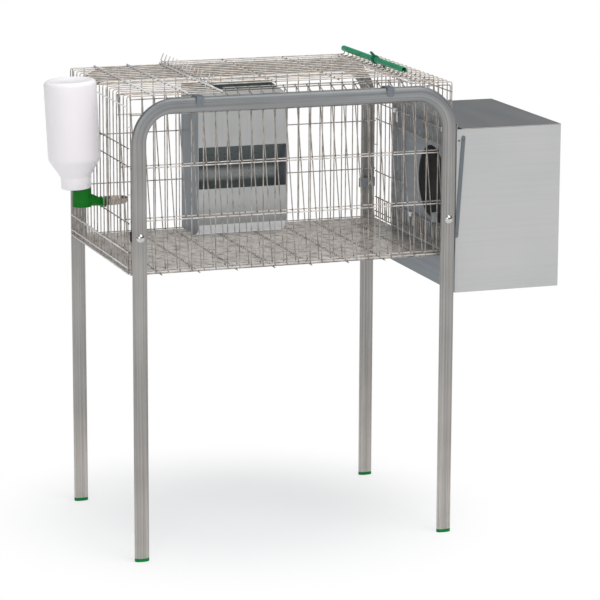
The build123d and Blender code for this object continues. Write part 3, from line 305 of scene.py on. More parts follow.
class Finish(Tree):
    """Node material with one main shader."""

    def __init__(self, name):
        super().__init__(bpy.data.materials.new(name))
        self.main = self.nodes["Principled BSDF"]
        self.place = self.add("TexCoord", output="Object")

    def noise(self, place, scale, detail, roughness):
        """Noise read at a place that is stretched by scale, evenly or by axis."""
        scale = scale if isinstance(scale, tuple) else (scale, scale, scale)
        at = self.add("Mapping", {"Vector": place, "Scale": scale})
        look = {"Vector": at, "Scale": 1.0, "Detail": detail, "Roughness": roughness}
        return self.add("TexNoise", look, "Fac")

    def spread(self, noise, low, high):
        """Noise carried to the range from low to high."""
        return self.ranged(noise, *NOISE_SPAN, low, high)

    def bump(self, height, strength, distance):
        """Normal that follows a height."""
        return self.add("Bump", {"Height": height, "Strength": strength, "Distance": distance})

    def mix(self, factor, first, second, mode="MIX"):
        """Mix of two colours."""
        return self.add("Mix", {0: factor, 6: first, 7: second}, 2, data_type="RGBA", blend_type=mode)

    def by_height(self, low, high, stops):
        """Colours that run from one height to another."""
        height = self.add("SeparateXYZ", {"Vector": self.place}, "Z")
        return self.ramp(self.ranged(height, low, high), stops)

    def finished(self, colour, roughness, normal, more):
        """Joins everything to the main shader and gives the material."""
        self.feed(self.main, {"Base Color": colour, "Roughness": roughness, "Normal": normal, **more})
        return self.owner


def zinc_finish(name, bright, dull, roughness, grain, clouds, metal, lines, flow="", height=None):
    """Rolled or drawn zinc: fine lines one way over slow clouds, and a tint that may change with height,
    which paints light and shade.
    """
    made = Finish(name)
    place = made.add("UVMap", uv_map=flow) if flow else made.place
    fine = made.noise(place, grain, 6.0, 0.6)
    slow = made.noise(made.place, clouds, 3.0, 0.5)
    cloud_colour = made.ramp(slow, ((0.35, dull), (0.65, bright)))
    line_colour = made.ramp(fine, ((0.3, dull), (0.62, bright)))
    colour = made.mix(lines, cloud_colour, line_colour)
    # Painted light and shade that change with height.
    if height:
        colour = made.mix(1.0, colour, made.by_height(*height), "MULTIPLY")
    rough = made.spread(fine, roughness * 0.8, roughness * 1.2)
    return made.finished(colour, rough, made.bump(fine, 0.12, 0.2 * MM), {"Metallic": metal})


def wire_finish(name, bright, dull, weld, roughness, metal=0.3):
    """Zinc-coated wire: patchy along its length and burnt brown at the welds."""
    made = Finish(name)
    patches = made.noise(made.place, 55.0, 3.0, 0.6)
    colour = made.ramp(patches, ((0.32, dull), (0.6, bright)))
    mark = made.add("Attribute", output="Fac", attribute_name="weld")
    grit = made.noise(made.place, 900.0, 2.0, 0.5)
    rough = made.spread(patches, roughness * 1.3, roughness * 0.8)
    burnt = made.mix(mark, colour, (*weld, 1.0))
    return made.finished(burnt, rough, made.bump(grit, 0.15, 0.1 * MM), {"Metallic": metal})


def bright_finish(name, colour, roughness, metal=1.0):
    """Bright fixing steel with small scuffs."""
    made = Finish(name)
    scuffs = made.noise(made.place, 240.0, 4.0, 0.6)
    shades = made.ramp(scuffs, ((0.35, tuple(0.8 * c for c in colour)), (0.6, colour)))
    rough = made.spread(scuffs, roughness * 1.4, roughness * 0.8)
    return made.finished(shades, rough, made.bump(scuffs, 0.05, 0.1 * MM), {"Metallic": metal})


def plastic_finish(name, colour, roughness, grain=600.0, coat=0.0):
    """Moulded plastic: fine grain, slightly cloudy colour."""
    made = Finish(name)
    clouds = made.noise(made.place, 38.0, 3.0, 0.5)
    deep = tuple(0.82 * c for c in colour)
    pale = tuple(min(1.0, 1.12 * c + 0.004) for c in colour)
    shades = made.ramp(clouds, ((0.3, deep), (0.7, pale)))
    fine = made.noise(made.place, grain, 2.0, 0.5)
    rough = made.spread(fine, roughness * 0.9, roughness * 1.15)
    more = {"Specular IOR Level": 0.15, "Coat Weight": coat}
    return made.finished(shades, rough, made.bump(fine, 0.12, 0.1 * MM), more)


def milky_finish(name, colour, shade):
    """Milky blow-moulded plastic that lets a little light through."""
    made = Finish(name)
    clouds = made.noise(made.place, (16.0, 16.0, 5.0), 3.0, 0.5)
    shades = made.ramp(clouds, ((0.3, shade), (0.65, colour)))
    fine = made.noise(made.place, 300.0, 2.0, 0.5)
    more = {"Subsurface Weight": 0.3, "Subsurface Radius": WHITE, "Subsurface Scale": 12 * MM}
    return made.finished(shades, made.spread(fine, 0.36, 0.46), made.bump(clouds, 0.15, 2 * MM), more)


def placed(name, data):
    """New object in the scene."""
    thing = bpy.data.objects.new(name, data)
    bpy.context.scene.collection.objects.link(thing)
    return thing


def set_piece(name, mesh, finishes, body, node):
    """Puts a mesh into the scene as a piece of the cage that stands for a solid."""
    for material in finishes if isinstance(finishes, tuple) else (finishes,):
        mesh.materials.append(material)
    piece = placed(name, mesh)
    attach(piece, body)
    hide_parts(node)
    return piece


def lone_solids(node):
    """Corner points of each separate solid of a node, in a fixed order."""
    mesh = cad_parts[node].data
    seen = {}
    index = []
    for corner in mesh.vertices:
        key = tuple(round(c, 6) for c in corner.co)
        index.append(seen.setdefault(key, len(seen)))
    parent = list(range(len(seen)))

    def root(i):
        while parent[i] != i:
            parent[i] = parent[parent[i]]
            i = parent[i]
        return i

    for edge in mesh.edges:
        a, b = (root(index[v]) for v in edge.vertices)
        if a != b:
            parent[max(a, b)] = min(a, b)
    groups = {}
    for key, i in seen.items():
        groups.setdefault(root(i), []).append(key)
    return [np.array(groups[i]) for i in sorted(groups)]


class Wire:
    """One straight wire of a solid mesh panel: its two ends, way and radius."""

    def __init__(self, corners):
        middle = corners.mean(axis=0)
        lengthwise = np.linalg.svd(corners - middle)[2][0]
        along = (corners - middle) @ lengthwise
        near = corners[along < along.min() + END_SLAB].mean(axis=0)
        far = corners[along > along.max() - END_SLAB].mean(axis=0)
        self.ends = [Vector(near), Vector(far)]
        self.way = (self.ends[1] - self.ends[0]).normalized()
        way, off = np.array(self.way), corners - near
        self.radius = float(np.linalg.norm(off - np.outer(off @ way, way), axis=1).max())

    def runs(self, axis):
        """Whether the wire lies along an axis."""
        return abs(self.way[axis]) > ALONG

    def end_near(self, point):
        """The end that is nearer to a point."""
        return min(self.ends, key=lambda end: (end - point).length)


def wires_of(node):
    """Straight wires of a mesh panel's solid."""
    return [Wire(solid) for solid in lone_solids(node)]


def crossing(one, two):
    """Nearest points of two straight wires, or nothing where they run the same way or stay apart."""
    d1, d2 = one.ends[1] - one.ends[0], two.ends[1] - two.ends[0]
    gap = one.ends[0] - two.ends[0]
    a, b, c, d, e = d1.dot(d1), d1.dot(d2), d2.dot(d2), d1.dot(gap), d2.dot(gap)
    flat = a * c - b * b
    if flat < SAME_WAY * a * c:
        return None
    s = min(1.0, max(0.0, (b * e - c * d) / flat))
    t = min(1.0, max(0.0, (a * e - b * d) / flat))
    p, q = one.ends[0] + d1 * s, two.ends[0] + d2 * t
    return (p, q) if (p - q).length <= WELD_GAP * (one.radius + two.radius) else None


def weld_spots(wires):
    """Places where each wire of a panel is welded to another."""
    spots = [[] for _ in wires]
    for i, one in enumerate(wires):
        for j in range(i + 1, len(wires)):
            met = crossing(one, wires[j])
            if met:
                spots[i].append(met[0])
                spots[j].append(met[1])
    return spots


def rounded(points, radius, steps=5):
    """Path whose corners are turned to arcs."""
    path = [points[0]]
    for before, corner, after in zip(points, points[1:], points[2:]):
        u, v = (before - corner).normalized(), (after - corner).normalized()
        half = u.angle(v) / 2
        room = BEND_SHARE * min((before - corner).length, (after - corner).length)
        cut = min(radius / tan(half), room)
        centre = corner + (u + v).normalized() * (cut / cos(half))
        first, last = corner + u * cut - centre, corner + v * cut - centre
        turn = pi - 2 * half
        for k in range(steps + 1):
            t = k / steps
            path.append(centre + (first * sin((1 - t) * turn) + last * sin(t * turn)) / sin(turn))
    path.append(points[-1])
    return path


def circle(centre, side, up, radius, count):
    """Points round a circle in the plane of side and up."""
    turns = [2 * pi * k / count for k in range(count)]
    return [centre + (side * cos(turn) + up * sin(turn)) * radius for turn in turns]


def band(a, b, n, turned=False):
    """Faces between two rings of n points that begin at a and b."""
    pairs = [(k, (k + 1) % n) for k in range(n)]
    if turned:
        return [(a + k, a + after, b + after, b + k) for k, after in pairs]
    return [(a + k, b + k, b + after, a + after) for k, after in pairs]


def skin(start, rows, n, turned=False):
    """Faces through rows of n points that begin at start, and then over both ends."""
    last = start + (rows - 1) * n
    faces = [face for row in range(start, last, n) for face in band(row, row + n, n, turned)]
    ends = [tuple(range(start, start + n)), tuple(reversed(range(last, last + n)))]
    return faces + [end[::-1] if turned else end for end in ends]


def made_mesh(name, points, faces, sharp=None, flat=0):
    """Smooth mesh with its last faces flat, and with the edges kept that turn by more than sharp degrees."""
    mesh = bpy.data.meshes.new(name)
    mesh.from_pydata([tuple(p) for p in points], [], faces)
    mesh.polygons.foreach_set("use_smooth", [True] * (len(faces) - flat) + [False] * flat)
    if sharp:
        mesh.set_sharp_from_angle(angle=radians(sharp))
    mesh.update()
    return mesh


class Bundle:
    """Round wires gathered to one mesh, with a weld mark at each ring and a finish for each wire."""

    def __init__(self, look):
        self.look = look
        self.points, self.faces, self.marks, self.finish = [], [], [], []

    def add(self, line, radius, welds, finish):
        """Adds a wire that is bent along a line, swells at its welds and is fuller where it is a rod."""
        look, n = self.look, self.look.sides
        path = rounded(line, look.bend)
        radius *= look.rod_fullness if finish == LIT_ROD else look.fullness
        normal = self.side_way(path)
        stations = self.stations(path, welds)
        faces = skin(len(self.points), len(stations), n, True)
        for place, way, weight in stations:
            side = (normal - way * normal.dot(way)).normalized()
            full = radius * (1 + look.weld_swell * weight)
            self.points += circle(place, side, way.cross(side), full, n)
            self.marks += [weight] * n
        self.faces += faces
        self.finish += [finish] * len(faces)

    @staticmethod
    def side_way(path):
        """Way square to the path's plane, or to a straight path."""
        first = (path[1] - path[0]).normalized()
        for point in path[2:]:
            out = first.cross(point - path[0])
            if out.length > 1e-5:
                return out.normalized()
        return first.orthogonal().normalized()

    def stations(self, path, welds):
        """Rings wanted along a path: its own points, and three at each weld, as place, way and weight."""
        reach = self.look.weld_reach
        runs = [(b - a).length for a, b in zip(path, path[1:])]
        reached = [0.0]
        for run in runs:
            reached.append(reached[-1] + run)
        wanted = [(d, 0.0) for d in reached]
        for weld in welds:
            best = None
            for k, (a, b) in enumerate(zip(path, path[1:])):
                t = min(1.0, max(0.0, (weld - a).dot(b - a) / max(runs[k] ** 2, 1e-12)))
                miss = (a + (b - a) * t - weld).length
                if best is None or miss < best[0]:
                    best = (miss, reached[k] + t * runs[k])
            for shift, weight in ((-reach, 0.0), (0.0, 1.0), (reach, 0.0)):
                wanted.append((min(reached[-1], max(0.0, best[1] + shift)), weight))
        kept = []
        for d, weight in sorted(wanted):
            if kept and d - kept[-1][0] < LEAST_STEP:
                kept[-1] = (kept[-1][0], max(weight, kept[-1][1]))
            else:
                kept.append((d, weight))
        ways = [(b - a).normalized() for a, b in zip(path, path[1:])]
        out = []
        for d, weight in kept:
            k = min(len(runs) - 1, max(i for i in range(len(reached)) if reached[i] <= d + 1e-9))
            t = (d - reached[k]) / max(runs[k], 1e-9)
            way = ways[k]
            if t < 1e-3 and k > 0:
                way = (way + ways[k - 1]).normalized()
            elif t > 1 - 1e-3 and k + 1 < len(ways):
                way = (way + ways[k + 1]).normalized()
            out.append((path[k] + (path[k + 1] - path[k]) * t, way, weight))
        return out

    def mesh(self, name):
        """Mesh of all wires added, with flat ends: they alone have more than four corners."""
        mesh = made_mesh(name, self.points, self.faces)
        mesh.polygons.foreach_set("use_smooth", [len(face) == 4 for face in self.faces])
        mesh.polygons.foreach_set("material_index", self.finish)
        mesh.attributes.new("weld", "FLOAT", "POINT").data.foreach_set("value", self.marks)
        mesh.update()
        return mesh


def joined_ends(wires):
    """Lines of wires that go on in one another at their ends, with the places of the wires in each."""
    taken = set()
    lines = []
    for i, wire in enumerate(wires):
        if i in taken:
            continue
        taken.add(i)
        line, members = list(wire.ends), [i]
        for at_end in (True, False):
            while True:
                tip, back = (line[-1], line[-2]) if at_end else (line[0], line[1])
                found = None
                for j, other in enumerate(wires):
                    if j in taken or abs(other.radius - wire.radius) > SAME_RADIUS:
                        continue
                    near = other.end_near(tip)
                    turn = abs(other.way.dot((tip - back).normalized()))
                    if (near - tip).length < OPEN_MITRE and turn < STRAIGHT_ON:
                        found = j
                        break
                if found is None:
                    break
                taken.add(found)
                members.append(found)
                far = other.ends[0] if near is other.ends[1] else other.ends[1]
                corner = meeting(back, tip, far, near)
                if at_end:
                    line[-1:] = [corner, far]
                else:
                    line[:1] = [far, corner]
        lines.append((line, members))
    return lines


def meeting(a, b, c, d):
    """Middle of the shortest join between the endless lines a-b and c-d."""
    u, v, w = b - a, d - c, a - c
    uu, uv, vv, uw, vw = u.dot(u), u.dot(v), v.dot(v), u.dot(w), v.dot(w)
    flat = uu * vv - uv * uv
    s, t = (uv * vw - vv * uw) / flat, (uu * vw - uv * uw) / flat
    return ((a + u * s) + (c + v * t)) / 2


def from_work(name, work):
    """Mesh of what was worked on, which is then let go."""
    mesh = bpy.data.meshes.new(name)
    work.to_mesh(mesh)
    work.free()
    return mesh


def softened(name, node, finishes, body, width, segments=2, limit=35.0, trim=None, pick=None):
    """Copy of a solid with its edges rounded by a worn bevel, and with a finish picked for each face."""
    work = bmesh.new()
    work.from_mesh(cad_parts[node].data)
    bmesh.ops.remove_doubles(work, verts=work.verts, dist=SAME_CORNER)
    bmesh.ops.dissolve_limit(work, angle_limit=radians(FLAT_TURN), verts=work.verts, edges=work.edges)
    if trim:
        trim(work)
    bmesh.ops.recalc_face_normals(work, faces=work.faces)
    for face in work.faces:
        face.material_index = pick(face) if pick else 0
    mesh = from_work(name, work)
    piece = set_piece(name, mesh, finishes, body, node)
    mesh.polygons.foreach_set("use_smooth", [True] * len(mesh.polygons))
    mesh.set_sharp_from_angle(angle=radians(limit))
    bevel = piece.modifiers.new("worn_edges", "BEVEL")
    bevel.width = width
    bevel.segments = segments
    bevel.limit_method = "ANGLE"
    bevel.angle_limit = radians(limit)
    bevel.harden_normals = True


def pick_shaded_side(face):
    """Second finish, painted shade, for faces that look to -X, away from the key lamp."""
    return int(face.normal.x < -FACING)


def lathe(name, outline, foot, way, steps, sharp=None):
    """Closed turned mesh from (radius, height) points about an axis through foot."""
    way = way.normalized()
    side = way.orthogonal().normalized()
    up = way.cross(side)
    points, faces, rows = [], [], []
    for radius, height in outline:
        count = steps if radius > 1e-7 else 1
        rows.append(range(len(points), len(points) + count))
        points += circle(foot + way * height, side, up, radius, count)
    for low, high in zip(rows, rows[1:]):
        for k in range(steps):
            after = (k + 1) % steps
            if len(low) == 1:
                faces.append((low[0], high[after], high[k]))
            elif len(high) == 1:
                faces.append((low[k], low[after], high[0]))
            else:
                faces.append((low[k], low[after], high[after], high[k]))
    return made_mesh(name, points, faces, sharp)


def arc_points(centre, radius, start, end, steps):
    """Points on an arc, angles in degrees."""
    turns = [radians(start + (end - start) * k / steps) for k in range(steps + 1)]
    return [(centre[0] + radius * cos(turn), centre[1] + radius * sin(turn)) for turn in turns]


def join_meshes(name, meshes):
    """One mesh of several closed meshes."""
    work = bmesh.new()
    for mesh in meshes:
        work.from_mesh(mesh)
        bpy.data.meshes.remove(mesh)
    return from_work(name, work)


def ring(centre, along, aside, half, slack, thick, rings=24, sides=8):
    """Closed ring of round wire, drawn out by slack to both ways along."""
    way = along.cross(aside)
    points, faces = [], []
    for i in range(rings):
        turn = 2 * pi * (i + 0.5) / rings
        out = along * cos(turn) + aside * sin(turn)
        middle = centre + out * half + along * (slack if cos(turn) > 0 else -slack)
        points += circle(middle, out, way, thick, sides)
        faces += band(i * sides, (i + 1) % rings * sides, sides)
    return made_mesh("ring", points, faces)


class CAGE_OT_mesh(bpy.types.Operator):
    """Draw every welded mesh panel in round wire, with bends and burnt welds"""
    bl_idname = "cage.lay_mesh"
    bl_label = "Welded mesh"

    def execute(self, context):
        look = context.scene.cage_wire
        # Painted highlight: the third finish is the rods' near-white colour.
        finishes = (
            wire_finish("zinc_wire", look.zinc, look.dull, look.weld, 0.42),
            wire_finish("bright_bar", look.bar, look.zinc, look.weld, 0.35),
            wire_finish("bright_rod", look.rod, look.bar, look.zinc, 0.3, 0.2),
        )
        # Painted light: the lid and the fixed tops take the paler wire finish, as if lit from above.
        pale = (wire_finish("pale_wire", look.pale, look.lit_top_dull, look.weld, 0.42), *finishes[1:])
        for name, node, body in MESHES:
            wires = wires_of(node)
            left = node == "left_side_panel"
            if left:
                self.bring_out(wires, look)
            elif node == "hay_rack":
                self.lift_rack(wires, look)
            spots = weld_spots(wires)
            bundle = Bundle(look)
            for line, members in joined_ends(wires):
                first = wires[members[0]]
                welds = [p for i in members for p in spots[i]]
                if left:
                    welds = [p for p in welds if look.bar_foot < p.z < look.bar_head]
                finish = (LIT_ROD if left else BAR) if self.is_bright(node, first, look) else PLAIN
                bundle.add(line, first.radius, welds, finish)
            mesh = bundle.mesh(name)
            if node == "lid":
                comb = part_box(node)[1].z - look.comb
                for face in mesh.polygons:
                    if face.center.z > comb:
                        face.material_index = BAR
            set_piece(name, mesh, pale if node == "lid" else finishes, body, node)
        for name, node, side_node in TOPS:
            self.top(name, node, side_node, look, pale)
        return {"FINISHED"}

    @staticmethod
    def lift_rack(wires, look):
        """Slides the rack's cross wires, apart from the lowest and highest, up its slant."""
        slant = next(wire.way for wire in wires if not wire.runs(0))
        bars = sorted((wire for wire in wires if wire.runs(0)), key=lambda wire: wire.ends[0].z)
        for bar in bars[1:-1]:
            bar.ends = [end + slant * (look.rack_lift / slant.z) for end in bar.ends]

    @classmethod
    def bring_out(cls, wires, look):
        """Lays the bright cross wires of the left side on the outside of its uprights."""
        plane = next(wire.ends[0].x for wire in wires if wire.runs(2))
        for wire in wires:
            if cls.is_bright("left_side_panel", wire, look):
                wire.ends = [Vector((2 * plane - end.x, end.y, end.z)) for end in wire.ends]

    @staticmethod
    def is_bright(node, wire, look):
        """Whether a wire is one of the brighter cross wires."""
        height = wire.ends[0].z
        if node in ("front_panel", "hay_rack"):
            return wire.runs(0) and height < look.bar_head
        return node == "left_side_panel" and wire.runs(1) and not look.bar_foot < height < look.bar_head

    @staticmethod
    def top(name, node, side_node, look, finishes):
        """Draws a fixed top: each wire comes over from its side wire, under the bright rods."""
        side_ends = [end for wire in wires_of(side_node) if wire.runs(2) for end in wire.ends]
        wires = [wire for wire in wires_of(node) if wire.runs(0) or wire.runs(1)]
        bundle = Bundle(look)
        for wire, welds in zip(wires, weld_spots(wires)):
            rod = wire.radius > look.rod_least
            line = list(wire.ends)
            if wire.runs(0):
                side = max(side_ends, key=lambda end: (abs(end.y - wire.ends[0].y) < MM, end.z))
                line.sort(key=lambda end: abs(end.x - side.x))
                line[:1] = [side, Vector((side.x, line[0].y, line[0].z))]
            bundle.add(line, wire.radius, [] if rod else welds, LIT_ROD if rod else PLAIN)
        set_piece(name, bundle.mesh(name), finishes, "base", node)


def tube_outline(look, steps=72):
    """Outline of the tube: (across, deep) points of a squarish oval with long grooves in its faces."""
    outline = []
    for k in range(steps):
        turn = pi - 2 * pi * k / steps
        across, deep = cos(turn), sin(turn)
        x = look.width / 2 * abs(across) ** (2 / look.fullness) * (1 if across > 0 else -1)
        y = look.depth / 2 * abs(deep) ** (2 / look.fullness) * (1 if deep > 0 else -1)
        near = abs(abs(x) - look.groove_off) / look.groove_half
        if near < 1:
            y *= 1 - look.groove * (1 + cos(pi * near)) / look.depth
        outline.append((x, y))
    return outline


def tube_mesh(name, path, outline):
    """Tube of a fixed outline along a path in an upright X-Z plane, unrolled for its streaks."""
    points, unrolled = [], []
    n = len(outline)
    round_way = [0.0]
    for a, b in zip(outline, outline[1:] + outline[:1]):
        round_way.append(round_way[-1] + hypot(b[0] - a[0], b[1] - a[1]))
    along = [0.0]
    for a, b in zip(path, path[1:]):
        along.append(along[-1] + (b - a).length)
    for i, place in enumerate(path):
        way = (path[min(i + 1, len(path) - 1)] - path[max(i - 1, 0)]).normalized()
        across = Vector((way.z, 0.0, -way.x))
        points += [place + across * x + Vector((0.0, -y, 0.0)) for x, y in outline]
    for low, high in zip(along, along[1:]):
        for left, right in zip(round_way, round_way[1:]):
            unrolled += [(left, low), (left, high), (right, high), (right, low)]
    unrolled += [(0.0, 0.0)] * (2 * n)
    mesh = made_mesh(name, points, skin(0, len(path), n), flat=2)
    mesh.uv_layers.new(name="flow").data.foreach_set("uv", [c for pair in unrolled for c in pair])
    mesh.update()
    return mesh


class CAGE_OT_frames(bpy.types.Operator):
    """Bend the two grooved tube frames"""
    bl_idname = "cage.bend_frames"
    bl_label = "Tube frames"

    def execute(self, context):
        look = context.scene.cage_tube
        # Painted light: the tube's colour is multiplied by a tint by height, lighter at the foot and darker
        # and bluer on the level runs at the head.
        zinc = zinc_finish(
            "zinc_tube", look.zinc, look.dull, 0.46, (320.0, 1.6, 1.0), 7.0, 0.65, 0.75,
            "flow", self.painted_light_by_height(look),
        )
        outline = tube_outline(look)
        half = look.width / 2
        for name, node in (("front_tube_frame", "front_frame"), ("rear_tube_frame", "rear_frame")):
            low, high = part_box(node)
            y, left, right, top = (low.y + high.y) / 2, low.x + half, high.x - half, high.z - half
            corners = ((left, low.z), (left, top), (right, top), (right, low.z))
            path = rounded([Vector((x, y, z)) for x, z in corners], look.bend, 18)
            set_piece(name, tube_mesh(name, path, outline), zinc, "base", node)
        return {"FINISHED"}

    @staticmethod
    def painted_light_by_height(look):
        """Painted light from foot to head: the foot is painted lighter and the level runs at the head darker
        and bluer, as shade; up the leg the tint falls by half its way to the leg's tone at each step.
        """
        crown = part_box("front_frame")[1].z
        foot, step = 0.11, 0.1
        stops = [(0.0, WHITE)]
        for k in range(5):
            light = 0.5 ** k
            stops.append((foot + step * k, tuple(light + (1 - light) * c for c in look.leg)))
        stops.append((1 - 1.4 * look.bend / crown, look.leg))
        stops.append((1 - 0.4 * look.bend / crown, look.head))
        return 0.0, crown, stops


class CAGE_OT_feet(bpy.types.Operator):
    """Mould the four foot caps"""
    bl_idname = "cage.mould_feet"
    bl_label = "Foot caps"

    def execute(self, context):
        look = context.scene.cage_tube
        green = plastic_finish("foot_cap_plastic", look.foot, 0.5)
        sole = tube_outline(look)
        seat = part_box("front_frame")[0].z - 0.05 * MM
        for corner in ("front_left", "front_right", "rear_left", "rear_right"):
            node = "foot_cap_" + corner
            low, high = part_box(node)
            middle = (low + high) / 2
            # Heights of the cap's rings, with the share of the tube's depth that each has.
            rows = (
                (low.z, 0.955), (low.z + 0.4 * MM, 0.985), (low.z + 1.2 * MM, 1.0), (seat - 0.65 * MM, 1.0),
                (seat, 0.975), (seat, 0.84), (high.z - 1.5 * MM, 0.84), (high.z, 0.8),
            )
            points = []
            for z, size in rows:
                wide = 1 - (1 - size) * look.depth / look.width
                points += [(middle.x + x * wide, middle.y + y * size, z) for x, y in sole]
            mesh = made_mesh(node + "_moulded", points, skin(0, len(rows), len(sole)), 40)
            set_piece(node + "_moulded", mesh, green, "base", node)
        return {"FINISHED"}


class CAGE_OT_fixings(bpy.types.Operator):
    """Fit the bolts, nuts, spacers, clamp plates and clips"""
    bl_idname = "cage.fit_fixings"
    bl_label = "Fixings"

    def execute(self, context):
        look = context.scene.cage_tube
        polished = bright_finish("polished_bolt", look.bolt, 0.12)
        plain = bright_finish("zinc_plate", look.plate, 0.4, 0.5)
        dull = bright_finish("dull_clip", look.clip, 0.4, 0.5)
        black = plastic_finish("black_spacer", look.spacer, 0.55)
        mesh = join_meshes("domed_bolts", [self.bolt(solid) for solid in lone_solids("leg_bolts")])
        mesh.set_sharp_from_angle(angle=radians(60))
        set_piece("domed_bolts", mesh, polished, "base", "leg_bolts")
        softened("hexagon_nuts", "leg_nuts", plain, "base", 0.5 * MM, 3)
        softened("black_spacers", "leg_spacers", black, "base", 0.8 * MM, 3)
        softened("corner_clamp_plates", "clamp_plates", plain, "base", 0.4 * MM)
        softened(
            "tube_clips", "frame_clips", dull, "base", 0.45 * MM, 3, trim=self.round_tabs,
        )
        return {"FINISHED"}

    @staticmethod
    def bolt(solid, head=4.0 * MM, radius=3.0 * MM, chamfer=0.8 * MM, threads=7, dome_steps=10):
        """Domed bolt in the place of a solid, with its head on the side away from the cage's middle."""
        low, high = Vector(solid.min(axis=0)), Vector(solid.max(axis=0))
        middle = (low + high) / 2
        out, tip = (-1.0, low.y) if middle.y < 0 else (1.0, high.y)
        head_r = (high.z - low.z) / 2
        shank = (high.y - low.y) - head
        dome = (head_r ** 2 + head ** 2) / (2 * head)
        groove, brim = 0.35 * MM, 0.35 * MM
        outline = [(0.0, -shank), (radius - chamfer, -shank), (radius, -shank + chamfer)]
        for k in range(threads):
            at = -shank + (1.2 + k) * MM
            outline += [(radius - groove, at + 0.25 * MM), (radius, at + 0.7 * MM)]
        outline += [(radius, -0.1 * MM), (head_r - 0.5 * MM, 0.0), (head_r, brim)]
        for k in range(1, dome_steps + 1):
            reach = head_r * cos(pi / 2 * k / dome_steps)
            rise = (dome ** 2 - reach ** 2) ** 0.5 - (dome - head)
            outline.append((reach if k < dome_steps else 0.0, max(brim, rise)))
        foot = Vector((middle.x, tip - out * head, middle.z))
        return lathe("bolt", outline, foot, Vector((0.0, out, 0.0)), 40)

    @staticmethod
    def round_tabs(work):
        """Rounds the two lower corners of each clip's front tab."""
        front = min(v.co.y for v in work.verts)
        below = max(v.co.z for v in work.verts) - 10 * MM
        tabs = []
        for edge in work.edges:
            a, b = (v.co for v in edge.verts)
            along_y = abs(a.x - b.x) < 1e-6 and abs(a.z - b.z) < 1e-6
            if along_y and min(a.y, b.y) < front + 0.1 * MM and abs(a.y - b.y) < 3 * MM and a.z < below:
                tabs.append(edge)
        bmesh.ops.bevel(work, geom=tabs, offset=4.5 * MM, segments=6, profile=0.5, affect="EDGES")


class CAGE_OT_rings(bpy.types.Operator):
    """Close the rings that tie the panels and carry the lid"""
    bl_idname = "cage.close_rings"
    bl_label = "Rings"

    def execute(self, context):
        look = context.scene.cage_wire
        # Painted highlight: the rings take the rods' near-white colour where they are brightest.
        zinc = wire_finish("ring_wire", look.rod, look.zinc, look.weld, 0.25)
        for name, node, body in (
            ("panel_tie_rings", "panel_rings", "base"), ("lid_turning_rings", "lid_hinge_rings", "lid"),
        ):
            made = []
            for solid in lone_solids(node):
                middle = solid.mean(axis=0)
                size, ways = np.linalg.svd(solid - middle)[1:]
                along, aside = (Vector(way) for way in ways[:2])
                long, broad, thick = (float(np.abs((solid - middle) @ way).max()) for way in ways)
                thick *= 0.85
                drawn_out = size[0] > 1.1 * size[1]
                slack = max(0.0, long - broad / cos(pi / 6)) if drawn_out else 0.0
                made.append(ring(Vector(middle), along, aside, broad - thick, slack, thick))
            set_piece(name, join_meshes(name, made), zinc, body, node)
        return {"FINISHED"}


class CAGE_OT_lid_edge(bpy.types.Operator):
    """Fit the split green tube and the latch on the lid's free edge"""
    bl_idname = "cage.fit_lid_edge"
    bl_label = "Lid edge tube and latch"

    def execute(self, context):
        look = context.scene.cage_drinker
        tube = plastic_finish("edge_tube_plastic", look.tube, 0.35, 300.0, 0.1)
        latch = plastic_finish("latch_plastic", look.latch, 0.35, 300.0, 0.1)
        set_piece("green_edge_tube", self.split_tube(), tube, "lid", "lid_edge_tube")
        softened("green_latch", "lid_latch", latch, "latch", 0.8 * MM, 3, 30.0)
        return {"FINISHED"}

    @staticmethod
    def split_tube(wall=1.4 * MM, slot=3.2 * MM, ease=0.3 * MM, steps=40):
        """Tube with a slot along its underside and eased ends."""
        low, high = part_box("lid_edge_tube")
        x_mid = (low.x + high.x) / 2
        outer = (high.x - low.x) / 2
        z_mid = high.z - outer
        inner = outer - wall
        open_out, open_in = (degrees(asin(slot / 2 / radius)) for radius in (outer, inner))
        outline = arc_points((0.0, 0.0), outer, -90 + open_out, 270 - open_out, steps)
        outline += arc_points((0.0, 0.0), inner, 270 - open_in, -90 + open_in, steps)
        n = len(outline)
        half = n // 2
        points, faces = [], []
        rows = ((low.y, ease), (low.y + ease, 0.0), (high.y - ease, 0.0), (high.y, ease))
        for y, cut in rows:
            for k, (x, z) in enumerate(outline):
                reach = hypot(x, z)
                eased = reach - cut if k < half else reach + cut
                points.append((x_mid + x * eased / reach, y, z_mid + z * eased / reach))
        for i in range(len(rows) - 1):
            faces += band(i * n, (i + 1) * n, n, True)
        for start, turned in ((0, False), ((len(rows) - 1) * n, True)):
            for k in range(half - 1):
                face = (start + k, start + n - 1 - k, start + n - 2 - k, start + k + 1)
                faces.append(face[::-1] if turned else face)
        return made_mesh("green_edge_tube", points, faces, 35)


